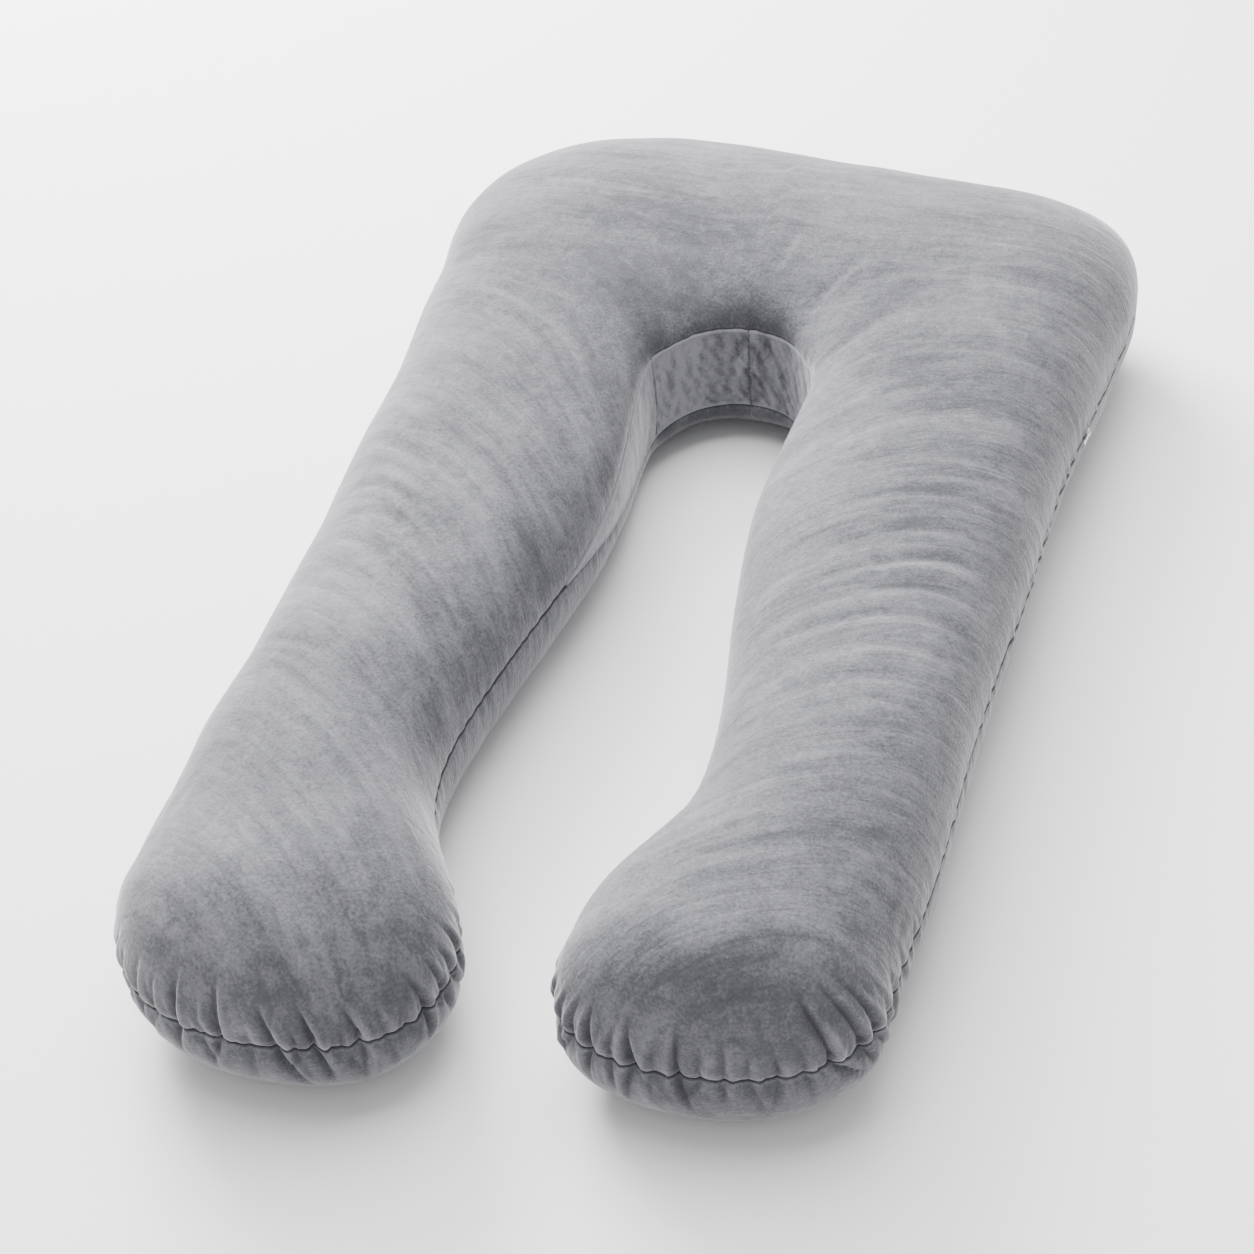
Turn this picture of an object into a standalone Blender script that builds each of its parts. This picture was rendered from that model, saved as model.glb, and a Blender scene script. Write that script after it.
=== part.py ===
# A U-shaped pregnancy pillow in brushed velvet. One filled body has a crowned top, a flat
# underside, a drawn-in seam and gathered bulbs at the ends of its legs. Four gusset panels
# line the inside of the arch, and a zip slider with its pull sits in the outer seam.
# Units are metres, +Z is up. The pillow lies flat on Z = 0 with its legs towards -Y.

import math

import bmesh
import bpy
import numpy as np
from mathutils import Matrix, Vector

MM = 0.001

# Cross sections in millimetres, from the right bulb round the base to the left bulb: the ends
# of each section on the outer and the inner side, then the height of its crown, the height of
# its seam and half the height of its gusset.
SECTION_COLUMNS = ("outer_x", "outer_y", "inner_x", "inner_y", "crown", "seam", "gusset")
SECTIONS = {
    "right bulb": (351, -579, 53, -579, 224, 98, 0),
    "right ankle": (363, -418, 113, -418, 218, 105, 0),
    "right waist": (368, -257, 117, -257, 214, 112, 0),
    "right thigh": (377, -96, 91, -96, 214, 112, 0),
    "right hip": (386, 65, 82, 65, 217, 112, 25),
    "right shoulder": (396, 226, 98, 226, 219, 112, 55),
    "right arch foot": (423, 445, 83, 283, 225, 112, 55),
    "right corner": (402, 636, 58, 315, 231, 112, 55),
    "right back": (223, 693, 30, 331, 237, 112, 55),
    "middle of the base": (0, 710, 0, 336, 244, 112, 55),
    "left back": (-244, 732, -29, 331, 237, 112, 55),
    "left corner": (-404, 637, -57, 315, 231, 112, 55),
    "left arch foot": (-421, 444, -82, 283, 225, 112, 55),
    "left shoulder": (-398, 226, -96, 226, 219, 112, 55),
    "left hip": (-390, 59, -82, 59, 217, 112, 25),
    "left thigh": (-379, -108, -99, -108, 214, 112, 0),
    "left waist": (-374, -275, -126, -275, 214, 112, 0),
    "left ankle": (-374, -442, -118, -442, 218, 105, 0),
    "left bulb": (-371, -609, -41, -609, 224, 98, 0),
}

# How far each bulb rounds out past its section, and how far its tip lies to one side.
BULB_TIPS = {
    "right": {"reach": 101 * MM, "shift": -30 * MM},
    "left": {"reach": 124 * MM, "shift": 3 * MM},
}

# Superellipse exponents: 2 is an ellipse, and more is fuller.
BULB_FULLNESS = 2.17
TOP_FULLNESS = 2.25
UNDER_FULLNESS = 2.2
FLAT_SHARE = 0.40  # share of each section's half width that lies flat

# Gathers of each bulb in millimetres: where a fold meets the seam, measured along the seam
# from the bulb's tip (positive towards the gap between the legs), its depth, its half width,
# how far up the top it runs, and how far its upper end leans along the seam.
FOLD_COLUMNS = ("at", "depth", "half_width", "run", "lean")
GATHERS = {
    "left": (
        (-342, 3, 10, 40, 8),
        (-306, 4, 10, 45, 10),
        (-274, 5, 9, 45, 10),
        (-246, 6, 9, 50, 10),
        (-222, 7, 9, 50, 8),
        (-196, 7, 9, 55, 8),
        (-169, 7, 8, 60, 8),
        (-148, 8, 8, 55, 6),
        (-121, 8, 8, 60, 8),
        (-96, 8, 8, 55, 6),
        (-67, 10, 9, 70, 6),
        (-42, 7, 8, 50, 4),
        (-21, 10, 8, 75, 2),
        (8, 6, 8, 45, 0),
        (33, 10, 9, 60, -8),
        (52, 6, 8, 45, -4),
        (71, 10, 8, 60, -8),
        (96, 8, 8, 50, 2),
        (113, 9, 8, 60, -10),
        (136, 6, 8, 45, -6),
        (158, 5, 8, 40, -6),
        (181, 10, 9, 60, -10),
        (206, 8, 8, 60, -12),
        (228, 8, 8, 60, -12),
        (252, 8, 9, 60, -14),
        (280, 5, 9, 50, -14),
        (312, 4, 10, 45, -12),
    ),
    "right": (
        (-318, 3, 10, 40, 10),
        (-284, 4, 10, 45, 12),
        (-254, 5, 9, 50, 12),
        (-230, 7, 9, 60, 14),
        (-208, 9, 9, 80, 22),
        (-187, 10, 9, 85, 22),
        (-154, 10, 9, 85, 18),
        (-128, 6, 8, 50, 8),
        (-103, 7, 8, 50, 6),
        (-77, 6, 8, 45, 2),
        (-54, 7, 8, 60, 0),
        (-32, 7, 8, 50, -2),
        (-10, 9, 8, 65, -2),
        (12, 6, 8, 50, -4),
        (32, 9, 8, 65, 2),
        (54, 8, 8, 60, -6),
        (76, 9, 8, 65, -2),
        (99, 8, 8, 60, -8),
        (117, 8, 8, 55, -10),
        (140, 7, 8, 55, -8),
        (162, 7, 8, 55, -8),
        (184, 7, 8, 55, -10),
        (208, 6, 9, 50, -10),
        (236, 5, 9, 45, -10),
        (268, 4, 10, 45, -10),
        (304, 3, 10, 40, -8),
    ),
}
UNDER_RUN = 45 * MM  # how far a fold runs below the seam
UNDER_DEPTH = 0.8  # share of a fold's depth below the seam

# The seam is a narrow groove. Round the arch it opens into the pocket that holds the gusset.
SEAM_HALF_HEIGHT = 4 * MM
GROOVE_DEPTH = 5 * MM
GROOVE_SIDE_DEPTH = 2.5 * MM
POCKET_DEPTH = 1.9 * MM
WALL_BULGE = 4 * MM
EDGE_MARGIN = 1.5 * MM  # from the edge of the groove or pocket to its floor
POCKET_FULL_AT = 20 * MM  # half height of gusset at which the groove is fully a pocket

# Gusset panels of cloth.
GUSSET_CLOTH = 1.5 * MM
GUSSET_GAP = 0.4 * MM
GUSSET_TIP = 6 * MM  # half height at which a panel ends on the inside of a leg
GUSSET_JOIN_Y = 255 * MM  # where the leg panels meet the arch panels
JOIN_GAP = 0.6 * MM

# Sampling of the body.
GATHERED_STEP = 9 * MM  # between sections beside the bulbs, where folds are
GATHERED_SIDE = 126 * MM
LEG_STEP = 52 * MM
BASE_STEP = 22 * MM
BULB_SPOKES = 70
TOP_ANGLES = (0, 24, 44, 59, 70, 78, 84.5, 90)  # degrees, from the crown to the seam
UNDER_ANGLES = (90, 79, 64, 42, 0)  # degrees, from the seam to the flat underside

# Zip slider and pull: a position along the outer right seam, then sizes as
# (along the seam, up, outwards).
ZIP_Y = 286 * MM
SLIDER_SIZE = (11 * MM, 8 * MM, 2.6 * MM)
BRIDGE_SIZE = (8 * MM, 2 * MM, 3.2 * MM)
BRIDGE_OPENING = (5 * MM, 2 * MM)
PULL_SIZE = (24 * MM, 6.5 * MM, 1.2 * MM)
PULL_EYE = (6 * MM, 3 * MM)
ZIP_CLEARANCE = 0.35 * MM

VELVET = {"colour": (0.31, 0.31, 0.335), "roughness": 0.9, "metallic": 0.0}
GUSSET_VELVET = {"colour": (0.27, 0.27, 0.295), "roughness": 0.9, "metallic": 0.0}
ZIP_METAL = {"colour": (0.75, 0.75, 0.77), "roughness": 0.3, "metallic": 1.0}


def clear_scene():
    for thing in list(bpy.data.objects):
        bpy.data.objects.remove(thing)


def make_material(name, look):
    material = bpy.data.materials.new(name)
    material.use_nodes = True
    shader = material.node_tree.nodes["Principled BSDF"]
    shader.inputs["Base Color"].default_value = (*look["colour"], 1.0)
    shader.inputs["Roughness"].default_value = look["roughness"]
    shader.inputs["Metallic"].default_value = look["metallic"]
    return material


def make_object(name, mesh, material):
    thing = bpy.data.objects.new(name, mesh)
    mesh.materials.append(material)
    bpy.context.scene.collection.objects.link(thing)
    return thing


def make_mesh(name, points, faces):
    """A closed mesh from points and faces, with its faces turned outwards."""
    mesh = bpy.data.meshes.new(name)
    mesh.from_pydata([tuple(point) for point in points], [], faces)
    shape = bmesh.new()
    shape.from_mesh(mesh)
    bmesh.ops.recalc_face_normals(shape, faces=shape.faces)
    shape.to_mesh(mesh)
    shape.free()
    mesh.shade_smooth()
    mesh.set_sharp_from_angle(angle=math.radians(50))
    return mesh


# Outline


def clamped_spline(knots, values, first_slope, last_slope):
    """The smooth curve through values at knots, with given slopes at its two ends."""
    count = len(knots)
    gaps = np.diff(knots)
    slopes = np.diff(values, axis=0) / gaps[:, None]
    matrix = np.zeros((count, count))
    right = np.zeros_like(values)
    matrix[0, :2] = 2 * gaps[0], gaps[0]
    matrix[-1, -2:] = gaps[-1], 2 * gaps[-1]
    right[0] = 6 * (slopes[0] - first_slope)
    right[-1] = 6 * (last_slope - slopes[-1])
    for k in range(1, count - 1):
        matrix[k, k - 1 : k + 2] = gaps[k - 1], 2 * (gaps[k - 1] + gaps[k]), gaps[k]
        right[k] = 6 * (slopes[k] - slopes[k - 1])
    bends = np.linalg.solve(matrix, right)

    def at(where):
        k = np.clip(np.searchsorted(knots, where, side="right") - 1, 0, count - 2)
        gap = gaps[k][:, None]
        before = (knots[k + 1] - where)[:, None] / gap
        after = (where - knots[k])[:, None] / gap
        bend = (before**3 - before) * bends[k] + (after**3 - after) * bends[k + 1]
        return before * values[k] + after * values[k + 1] + bend * gap**2 / 6

    return at


def even_steps(start, stop, step):
    """Places from start up to but without stop, about a step apart."""
    return np.linspace(start, stop, round((stop - start) / step), endpoint=False)


def make_sections():
    """Sections close together along the whole U, as an array with SECTION_COLUMNS."""
    names = list(SECTIONS)
    rows = np.array(list(SECTIONS.values()), float) * MM
    outer_steps = np.linalg.norm(np.diff(rows[:, 0:2], axis=0), axis=1)
    inner_steps = np.linalg.norm(np.diff(rows[:, 2:4], axis=0), axis=1)
    knots = np.concatenate([[0], np.cumsum((outer_steps + inner_steps) / 2)])
    along_y = np.array([0, 1.0, 0, 1.0, 0, 0, 0])
    at = clamped_spline(knots, rows, along_y, -along_y)
    base_start = knots[names.index("right shoulder")]
    base_stop = knots[names.index("left shoulder")]
    gathered_stop = knots[-1] - GATHERED_SIDE
    stretches = (
        (0, GATHERED_SIDE, GATHERED_STEP),
        (GATHERED_SIDE, base_start, LEG_STEP),
        (base_start, base_stop, BASE_STEP),
        (base_stop, gathered_stop, LEG_STEP),
        (gathered_stop, knots[-1], GATHERED_STEP),
    )
    places = [even_steps(*stretch) for stretch in stretches] + [[knots[-1]]]
    return at(np.concatenate(places))


def bulb_outline(section, side):
    """The seam's points round a bulb, from the outer end of its section to the inner end."""
    root = (section[0:2] + section[2:4]) / 2
    half = section[0:2] - root
    tip = BULB_TIPS[side]
    power = 2 / BULB_FULLNESS
    points = []
    for k in range(1, BULB_SPOKES):
        turn = math.pi * k / BULB_SPOKES
        across = math.copysign(abs(math.cos(turn)) ** power, math.cos(turn))
        towards = math.sin(turn) ** power
        x = root[0] + half[0] * across + tip["shift"] * math.sin(turn)
        points.append((x, root[1] - tip["reach"] * towards))
    return points


def make_spokes(sections):
    """One spoke for each upright strip of the surface, in order round the whole seam.
    A spoke runs from a root on the pillow's centre line out to a point of the seam."""
    last = len(sections) - 1
    spokes = []

    def add(index, end, gusset):
        row = sections[index]
        spokes.append(
            {
                "root_index": index,
                "root": (row[0:2] + row[2:4]) / 2,
                "end": np.array(end),
                "crown": row[4],
                "seam": row[5],
                "gusset": gusset,
            }
        )

    for k in range(last + 1):
        add(k, sections[k][0:2], 0.0)
    for point in bulb_outline(sections[last], "left"):
        add(last, point, 0.0)
    for k in range(last, -1, -1):
        add(k, sections[k][2:4], max(0.0, sections[k][6]))
    for point in reversed(bulb_outline(sections[0], "right")):
        add(0, point, 0.0)
    return spokes


def measure_from_tips(spokes):
    """Gives each spoke its leg, and its distance along the seam from that leg's tip."""
    ends = np.array([spoke["end"] for spoke in spokes])
    count = len(spokes)
    for side in ("right", "left"):
        own = ends[:, 0] > 0 if side == "right" else ends[:, 0] <= 0
        tip = int(np.argmin(np.where(own, ends[:, 1], np.inf)))
        for direction in (1, -1):
            # The loop passes the right tip from the gap outwards, and the left tip inwards.
            sign = -direction if side == "right" else direction
            distance = 0.0
            for step in range(count // 4):
                here = (tip + direction * step) % count
                beyond = (here + direction) % count
                spokes[here]["side"] = side
                spokes[here]["from_tip"] = sign * distance
                distance += float(np.linalg.norm(ends[beyond] - ends[here]))


# Surface


def fold_depth(spoke, climb, under):
    """How deep the gathers are at a distance from the seam, up the top or down the underside."""
    if "side" not in spoke:
        return 0.0
    total = 0.0
    for at, depth, half_width, run, lean in GATHERS[spoke["side"]]:
        length = UNDER_RUN if under else run * MM
        if climb >= length:
            continue
        share = climb / length
        centre = (at + (-lean if under else lean) * share) * MM
        across = (spoke["from_tip"] - centre) / (half_width * MM)
        fade = (1 - share**2) ** 1.5
        total += depth * MM * fade * math.exp(-(across**2))
    return total * (UNDER_DEPTH if under else 1.0)


def superellipse_arc(angles, fullness):
    """Shares outwards and upwards, and outward normals, for a quarter turn."""
    power = 2 / fullness
    arc = []
    for angle in angles:
        turn = math.radians(angle)
        sine = round(math.sin(turn), 12)
        cosine = round(math.cos(turn), 12)
        arc.append((sine**power, cosine**power, sine ** (2 - power), cosine ** (2 - power)))
    return arc


def pushed_in(reach, height, lean_out, lean_up, depth):
    """A point moved against its normal, as (distance out, height)."""
    length = math.hypot(lean_out, lean_up) or 1.0
    return reach - depth * lean_out / length, height - depth * lean_up / length


def band_half_height(spoke):
    """Half the height of the groove or pocket at a spoke's end."""
    return max(spoke["gusset"], SEAM_HALF_HEIGHT)


def wall_rows(spoke):
    """The floor of the seam groove or gusset pocket, as (distance out, height)."""
    length = float(np.linalg.norm(spoke["end"] - spoke["root"]))
    pocket = min(1.0, spoke["gusset"] / POCKET_FULL_AT)
    side = GROOVE_SIDE_DEPTH + pocket * (POCKET_DEPTH - GROOVE_SIDE_DEPTH)
    middle = GROOVE_DEPTH + pocket * (POCKET_DEPTH - WALL_BULGE - GROOVE_DEPTH)
    rise = band_half_height(spoke) - EDGE_MARGIN
    sink = fold_depth(spoke, 0.0, False)
    return [
        (length - side - sink, spoke["seam"] + rise),
        (length - middle - sink, spoke["seam"]),
        (length - side - sink, spoke["seam"] - rise),
    ]


def surface_rows(spoke):
    """A spoke's strip of surface from just below its crown round to just above the underside's
    root, as (distance out, height)."""
    length = float(np.linalg.norm(spoke["end"] - spoke["root"]))
    upper = spoke["seam"] + band_half_height(spoke)
    lower = spoke["seam"] - band_half_height(spoke)
    rise = spoke["crown"] - upper

    top = []
    climb = 0.0
    before = None
    for out, up, lean_out, lean_up in reversed(superellipse_arc(TOP_ANGLES, TOP_FULLNESS)[1:]):
        here = (length * out, upper + rise * up)
        climb += math.dist(here, before) if before else 0.0
        before = here
        depth = fold_depth(spoke, climb, False)
        top.append(pushed_in(*here, lean_out / length, lean_up / rise, depth))
    top.reverse()

    under = []
    climb = 0.0
    before = None
    for out, up, lean_out, lean_up in superellipse_arc(UNDER_ANGLES, UNDER_FULLNESS):
        flat = FLAT_SHARE * length
        here = (flat + (length - flat) * out, lower * (1 - up))
        climb += math.dist(here, before) if before else 0.0
        before = here
        depth = fold_depth(spoke, climb, True)
        out_lean = lean_out / (length - flat)
        reach, height = pushed_in(*here, out_lean, -lean_up / lower, depth)
        under.append((reach, max(0.0, height)))
    return top + wall_rows(spoke) + under


def place(spoke, row):
    """A (distance out, height) row of a spoke as a point in space."""
    way = spoke["end"] - spoke["root"]
    x, y = spoke["root"] + way / np.linalg.norm(way) * row[0]
    return (float(x), float(y), float(row[1]))


def centred(sections):
    """The sections moved so that the pillow's box is centred on the origin."""
    spokes = make_spokes(sections)
    measure_from_tips(spokes)
    reach = np.array([place(spoke, row) for spoke in spokes for row in surface_rows(spoke)])
    x, y, _ = (reach.min(axis=0) + reach.max(axis=0)) / 2
    return sections - np.array([x, y, x, y, 0, 0, 0])


def make_body(sections, spokes, material):
    points = []
    for row in sections:
        x, y = (row[0:2] + row[2:4]) / 2
        points.append((float(x), float(y), float(row[4])))
    under_roots = len(points)
    for row in sections:
        x, y = (row[0:2] + row[2:4]) / 2
        points.append((float(x), float(y), 0.0))
    first = len(points)
    strips = [surface_rows(spoke) for spoke in spokes]
    depth = len(strips[0])
    for spoke, strip in zip(spokes, strips):
        points.extend(place(spoke, row) for row in strip)

    faces = []
    for k, spoke in enumerate(spokes):
        following = (k + 1) % len(spokes)
        root, next_root = spoke["root_index"], spokes[following]["root_index"]
        here, there = first + k * depth, first + following * depth
        for crown, near, far in (
            ((root, next_root), here, there),
            ((under_roots + next_root, under_roots + root), there + depth - 1, here + depth - 1),
        ):
            if crown[0] == crown[1]:
                faces.append((crown[0], near, far))
            else:
                faces.append((crown[0], near, far, crown[1]))
        for j in range(depth - 1):
            faces.append((here + j, here + j + 1, there + j + 1))
            faces.append((here + j, there + j + 1, there + j))
    return make_object("pillow_body", make_mesh("pillow_body", points, faces), material)


# Gusset


def gusset_column(spoke):
    """Back and front points of the gusset cloth at a spoke, from its top edge down and back up."""
    back = [place(spoke, (out + GUSSET_GAP, up)) for out, up in wall_rows(spoke)]
    front_at = GUSSET_GAP + GUSSET_CLOTH
    front = [place(spoke, (out + front_at, up)) for out, up in wall_rows(spoke)]
    return np.array(back + front[::-1])


def make_gusset_panel(name, columns, material):
    """A strip of cloth through columns of points, cut back a little at each end."""
    columns = [column.copy() for column in columns]
    for end, inside in ((0, 1), (-1, -2)):
        way = columns[inside] - columns[end]
        columns[end] += way * (JOIN_GAP / 2 / np.linalg.norm(way[0]))
    around = len(columns[0])
    points = [point for column in columns for point in column]
    faces = [tuple(range(around)), tuple(range(len(points) - 1, len(points) - 1 - around, -1))]
    for k in range(len(columns) - 1):
        for j in range(around):
            a, b = k * around + j, k * around + (j + 1) % around
            faces.append((a, b, b + around))
            faces.append((a, b + around, a + around))
    return make_object(name, make_mesh(name, points, faces), material)


def make_gusset(spokes, material):
    """Four panels: one up the inside of each leg, and two that meet at the top of the arch."""
    lined = [spoke for spoke in spokes if spoke["gusset"] > GUSSET_TIP]
    columns = [gusset_column(spoke) for spoke in lined]
    ends = np.array([spoke["end"] for spoke in lined])
    top = int(np.argmin(np.abs(ends[:, 0])))
    left = int(np.argmin(np.abs(ends[:top, 1] - GUSSET_JOIN_Y)))
    right = top + int(np.argmin(np.abs(ends[top:, 1] - GUSSET_JOIN_Y)))
    cuts = (0, left, top, right, len(lined) - 1)
    names = ("gusset_leg_left", "gusset_arch_left", "gusset_arch_right", "gusset_leg_right")
    for name, start, stop in zip(names, cuts[:-1], cuts[1:]):
        make_gusset_panel(name, columns[start : stop + 1], material)


# Zip


def make_box(name, size, centre=(0, 0, 0)):
    shape = bmesh.new()
    bmesh.ops.create_cube(shape, size=1.0)
    bmesh.ops.scale(shape, vec=size, verts=shape.verts)
    bmesh.ops.translate(shape, vec=centre, verts=shape.verts)
    mesh = bpy.data.meshes.new(name)
    shape.to_mesh(mesh)
    shape.free()
    return mesh


def cut_or_join(thing, tool, operation):
    tool.hide_render = True
    tool.display_type = "WIRE"
    boolean = thing.modifiers.new(operation.lower(), "BOOLEAN")
    boolean.operation = operation
    boolean.object = tool


def make_zip(spokes, material):
    """The slider stands on the lips of the outer right seam, and its pull lies along it."""
    outer = [spoke for spoke in spokes if spoke["gusset"] == 0 and spoke["end"][0] > 0.25]
    nearest = sorted(outer, key=lambda spoke: abs(spoke["end"][1] - ZIP_Y))[:2]
    low, high = sorted(nearest, key=lambda spoke: spoke["end"][1])
    share = (ZIP_Y - low["end"][1]) / (high["end"][1] - low["end"][1])
    seat = low["end"] + share * (high["end"] - low["end"])
    along = Vector((*(low["end"] - high["end"]), 0.0)).normalized()
    up = Vector((0, 0, 1))
    out = up.cross(along) if up.cross(along).x > 0 else along.cross(up)
    frame = Matrix((along, up, out)).transposed().to_4x4()
    frame.translation = Vector((*seat, low["seam"])) + out * ZIP_CLEARANCE

    slider = make_object("zip_slider", make_box("zip_slider", SLIDER_SIZE), material)
    bridge = make_object("bridge_tool", make_box("bridge_tool", BRIDGE_SIZE), material)
    opening_size = (BRIDGE_OPENING[0], 4 * BRIDGE_SIZE[1], BRIDGE_OPENING[1])
    opening = make_object("opening_tool", make_box("opening_tool", opening_size), material)
    slider_top = SLIDER_SIZE[2]
    overlap = 0.2 * MM
    slider.matrix_world = frame @ Matrix.Translation((0, 0, SLIDER_SIZE[2] / 2))
    bridge_centre = slider_top + BRIDGE_SIZE[2] / 2 - overlap
    bridge.matrix_world = frame @ Matrix.Translation((0, 0, bridge_centre))
    opening_centre = slider_top + BRIDGE_OPENING[1] / 2
    opening.matrix_world = frame @ Matrix.Translation((0, 0, opening_centre))
    rounding = slider.modifiers.new("rounding", "BEVEL")
    rounding.width = 0.8 * MM
    rounding.segments = 2
    cut_or_join(bridge, opening, "DIFFERENCE")
    cut_or_join(slider, bridge, "UNION")

    pull = make_object("zip_pull", make_box("zip_pull", PULL_SIZE), material)
    eye_size = (*PULL_EYE, 4 * PULL_SIZE[2])
    eye = make_object("eye_tool", make_box("eye_tool", eye_size), material)
    bar = 1.4 * MM  # of the pull, inside the bridge
    pull_start = -BRIDGE_OPENING[0] / 2 + ZIP_CLEARANCE
    height = slider_top + ZIP_CLEARANCE + PULL_SIZE[2] / 2
    pull.matrix_world = frame @ Matrix.Translation((pull_start + PULL_SIZE[0] / 2, 0, height))
    eye_centre = pull_start + bar + PULL_EYE[0] / 2
    eye.matrix_world = frame @ Matrix.Translation((eye_centre, 0, height))
    corners = pull.modifiers.new("corners", "BEVEL")
    corners.width = 0.5 * MM
    corners.segments = 2
    cut_or_join(pull, eye, "DIFFERENCE")


def main():
    clear_scene()
    velvet = make_material("velvet", VELVET)
    gusset_velvet = make_material("gusset_velvet", GUSSET_VELVET)
    zip_metal = make_material("zip_metal", ZIP_METAL)
    sections = centred(make_sections())
    spokes = make_spokes(sections)
    measure_from_tips(spokes)
    make_body(sections, spokes, velvet)
    make_gusset(spokes, gusset_velvet)
    make_zip(spokes, zip_metal)


main()
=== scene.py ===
import math

import bmesh
import bpy
import numpy as np
from mathutils import Matrix, Vector


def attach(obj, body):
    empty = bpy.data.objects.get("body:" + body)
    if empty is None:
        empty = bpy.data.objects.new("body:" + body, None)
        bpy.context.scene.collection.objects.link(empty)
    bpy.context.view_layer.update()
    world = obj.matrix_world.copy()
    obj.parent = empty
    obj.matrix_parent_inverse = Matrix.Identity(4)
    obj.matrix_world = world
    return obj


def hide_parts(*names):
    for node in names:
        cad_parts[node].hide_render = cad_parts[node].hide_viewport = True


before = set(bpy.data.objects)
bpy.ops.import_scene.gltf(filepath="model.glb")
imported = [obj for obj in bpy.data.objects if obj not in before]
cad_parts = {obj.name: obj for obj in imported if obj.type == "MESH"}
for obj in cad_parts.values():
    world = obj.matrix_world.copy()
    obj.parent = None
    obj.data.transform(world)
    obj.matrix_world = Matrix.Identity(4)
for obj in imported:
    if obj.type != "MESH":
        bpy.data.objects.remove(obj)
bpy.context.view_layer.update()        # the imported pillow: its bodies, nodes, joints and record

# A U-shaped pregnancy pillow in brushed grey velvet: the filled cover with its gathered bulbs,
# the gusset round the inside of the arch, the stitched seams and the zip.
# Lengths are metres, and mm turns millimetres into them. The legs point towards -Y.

mm = 0.001
collection = bpy.context.scene.collection


# Shader maths: a Wire wraps one socket, and its operators add Math nodes

class Wire:
    def __init__(self, tree, socket):
        self.tree = tree
        self.socket = socket

    def maths(self, operation, first, second):
        node = self.tree.nodes.new("ShaderNodeMath")
        node.operation = operation
        for socket, value in zip(node.inputs, (first, second)):
            if isinstance(value, Wire):
                self.tree.links.new(value.socket, socket)
            else:
                socket.default_value = value
        return Wire(self.tree, node.outputs[0])

    def __add__(self, other):
        return self.maths("ADD", self, other)

    def __sub__(self, other):
        return self.maths("SUBTRACT", self, other)

    def __rsub__(self, other):
        return self.maths("SUBTRACT", other, self)

    def __mul__(self, other):
        return self.maths("MULTIPLY", self, other)

    __radd__ = __add__
    __rmul__ = __mul__


class Finish:
    def __init__(self, name):
        self.material = bpy.data.materials.new(name)
        self.material.use_nodes = True
        self.tree = self.material.node_tree
        self.shader = self.tree.nodes["Principled BSDF"]

    # adds any node: its settings first, then the values or wires of its sockets
    def node(self, kind, settings=None, values=None, out=0):
        made = self.tree.nodes.new(kind)
        for name, value in (settings or {}).items():
            if name == "stops":
                self.setStops(made.color_ramp, value)
            else:
                setattr(made, name, value)
        for name, value in (values or {}).items():
            socket = made.inputs[name]
            if isinstance(value, Wire):
                self.tree.links.new(value.socket, socket)
            else:
                socket.default_value = value
        return Wire(self.tree, made.outputs[out])

    def setStops(self, ramp, stops):
        while len(ramp.elements) > 1:
            ramp.elements.remove(ramp.elements[-1])
        for k, (place, shade) in enumerate(stops):
            stop = ramp.elements[0] if k == 0 else ramp.elements.new(place)
            stop.position = place
            stop.color = (shade, shade, shade, 1)

    def feed(self, socketName, value):
        socket = self.shader.inputs[socketName]
        if isinstance(value, Wire):
            self.tree.links.new(value.socket, socket)
        else:
            socket.default_value = value

    # smooth noise over the piece, stretched by the scale along each axis
    def noise(self, place, stretch, scale, detail, distortion=0.0):
        spread = self.node("ShaderNodeMapping", values={"Vector": place, "Scale": stretch})
        return self.node(
            "ShaderNodeTexNoise",
            values={"Vector": spread, "Scale": scale, "Detail": detail, "Distortion": distortion},
        )

    def ramp(self, value, stops):
        return self.node("ShaderNodeValToRGB", {"stops": stops}, {"Fac": value})

    def mixColours(self, share, low, high):
        return self.node(
            "ShaderNodeMix",
            {"data_type": "RGBA"},
            {0: share, 6: (*low, 1), 7: (*high, 1)},
            out=2,
        )


velvetLook = {
    # darkest and lightest colours; pile tone, painted light and painted shade spread the velvet between
    # them
    "deep": (0.040, 0.040, 0.047),
    "raised": (0.245, 0.245, 0.268),
    "roughness": 0.85,
    "sheen": 0.62,
    "sheenRoughness": 0.36,
    "sheenTint": (0.93, 0.93, 0.97, 1),
    "napScale": 5.5,
    "streakScale": 11.0,
    "wrinkleScale": 14.0,
    "crushScale": 42.0,
    "crinkleScale": 135.0,
    "tuftScale": 330.0,
    "wrinkleDepth": 1.5 * mm,
    "crushDepth": 0.9 * mm,
    "crinkleDepth": 0.5 * mm,
    "tuftDepth": 0.7 * mm,
}
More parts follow.
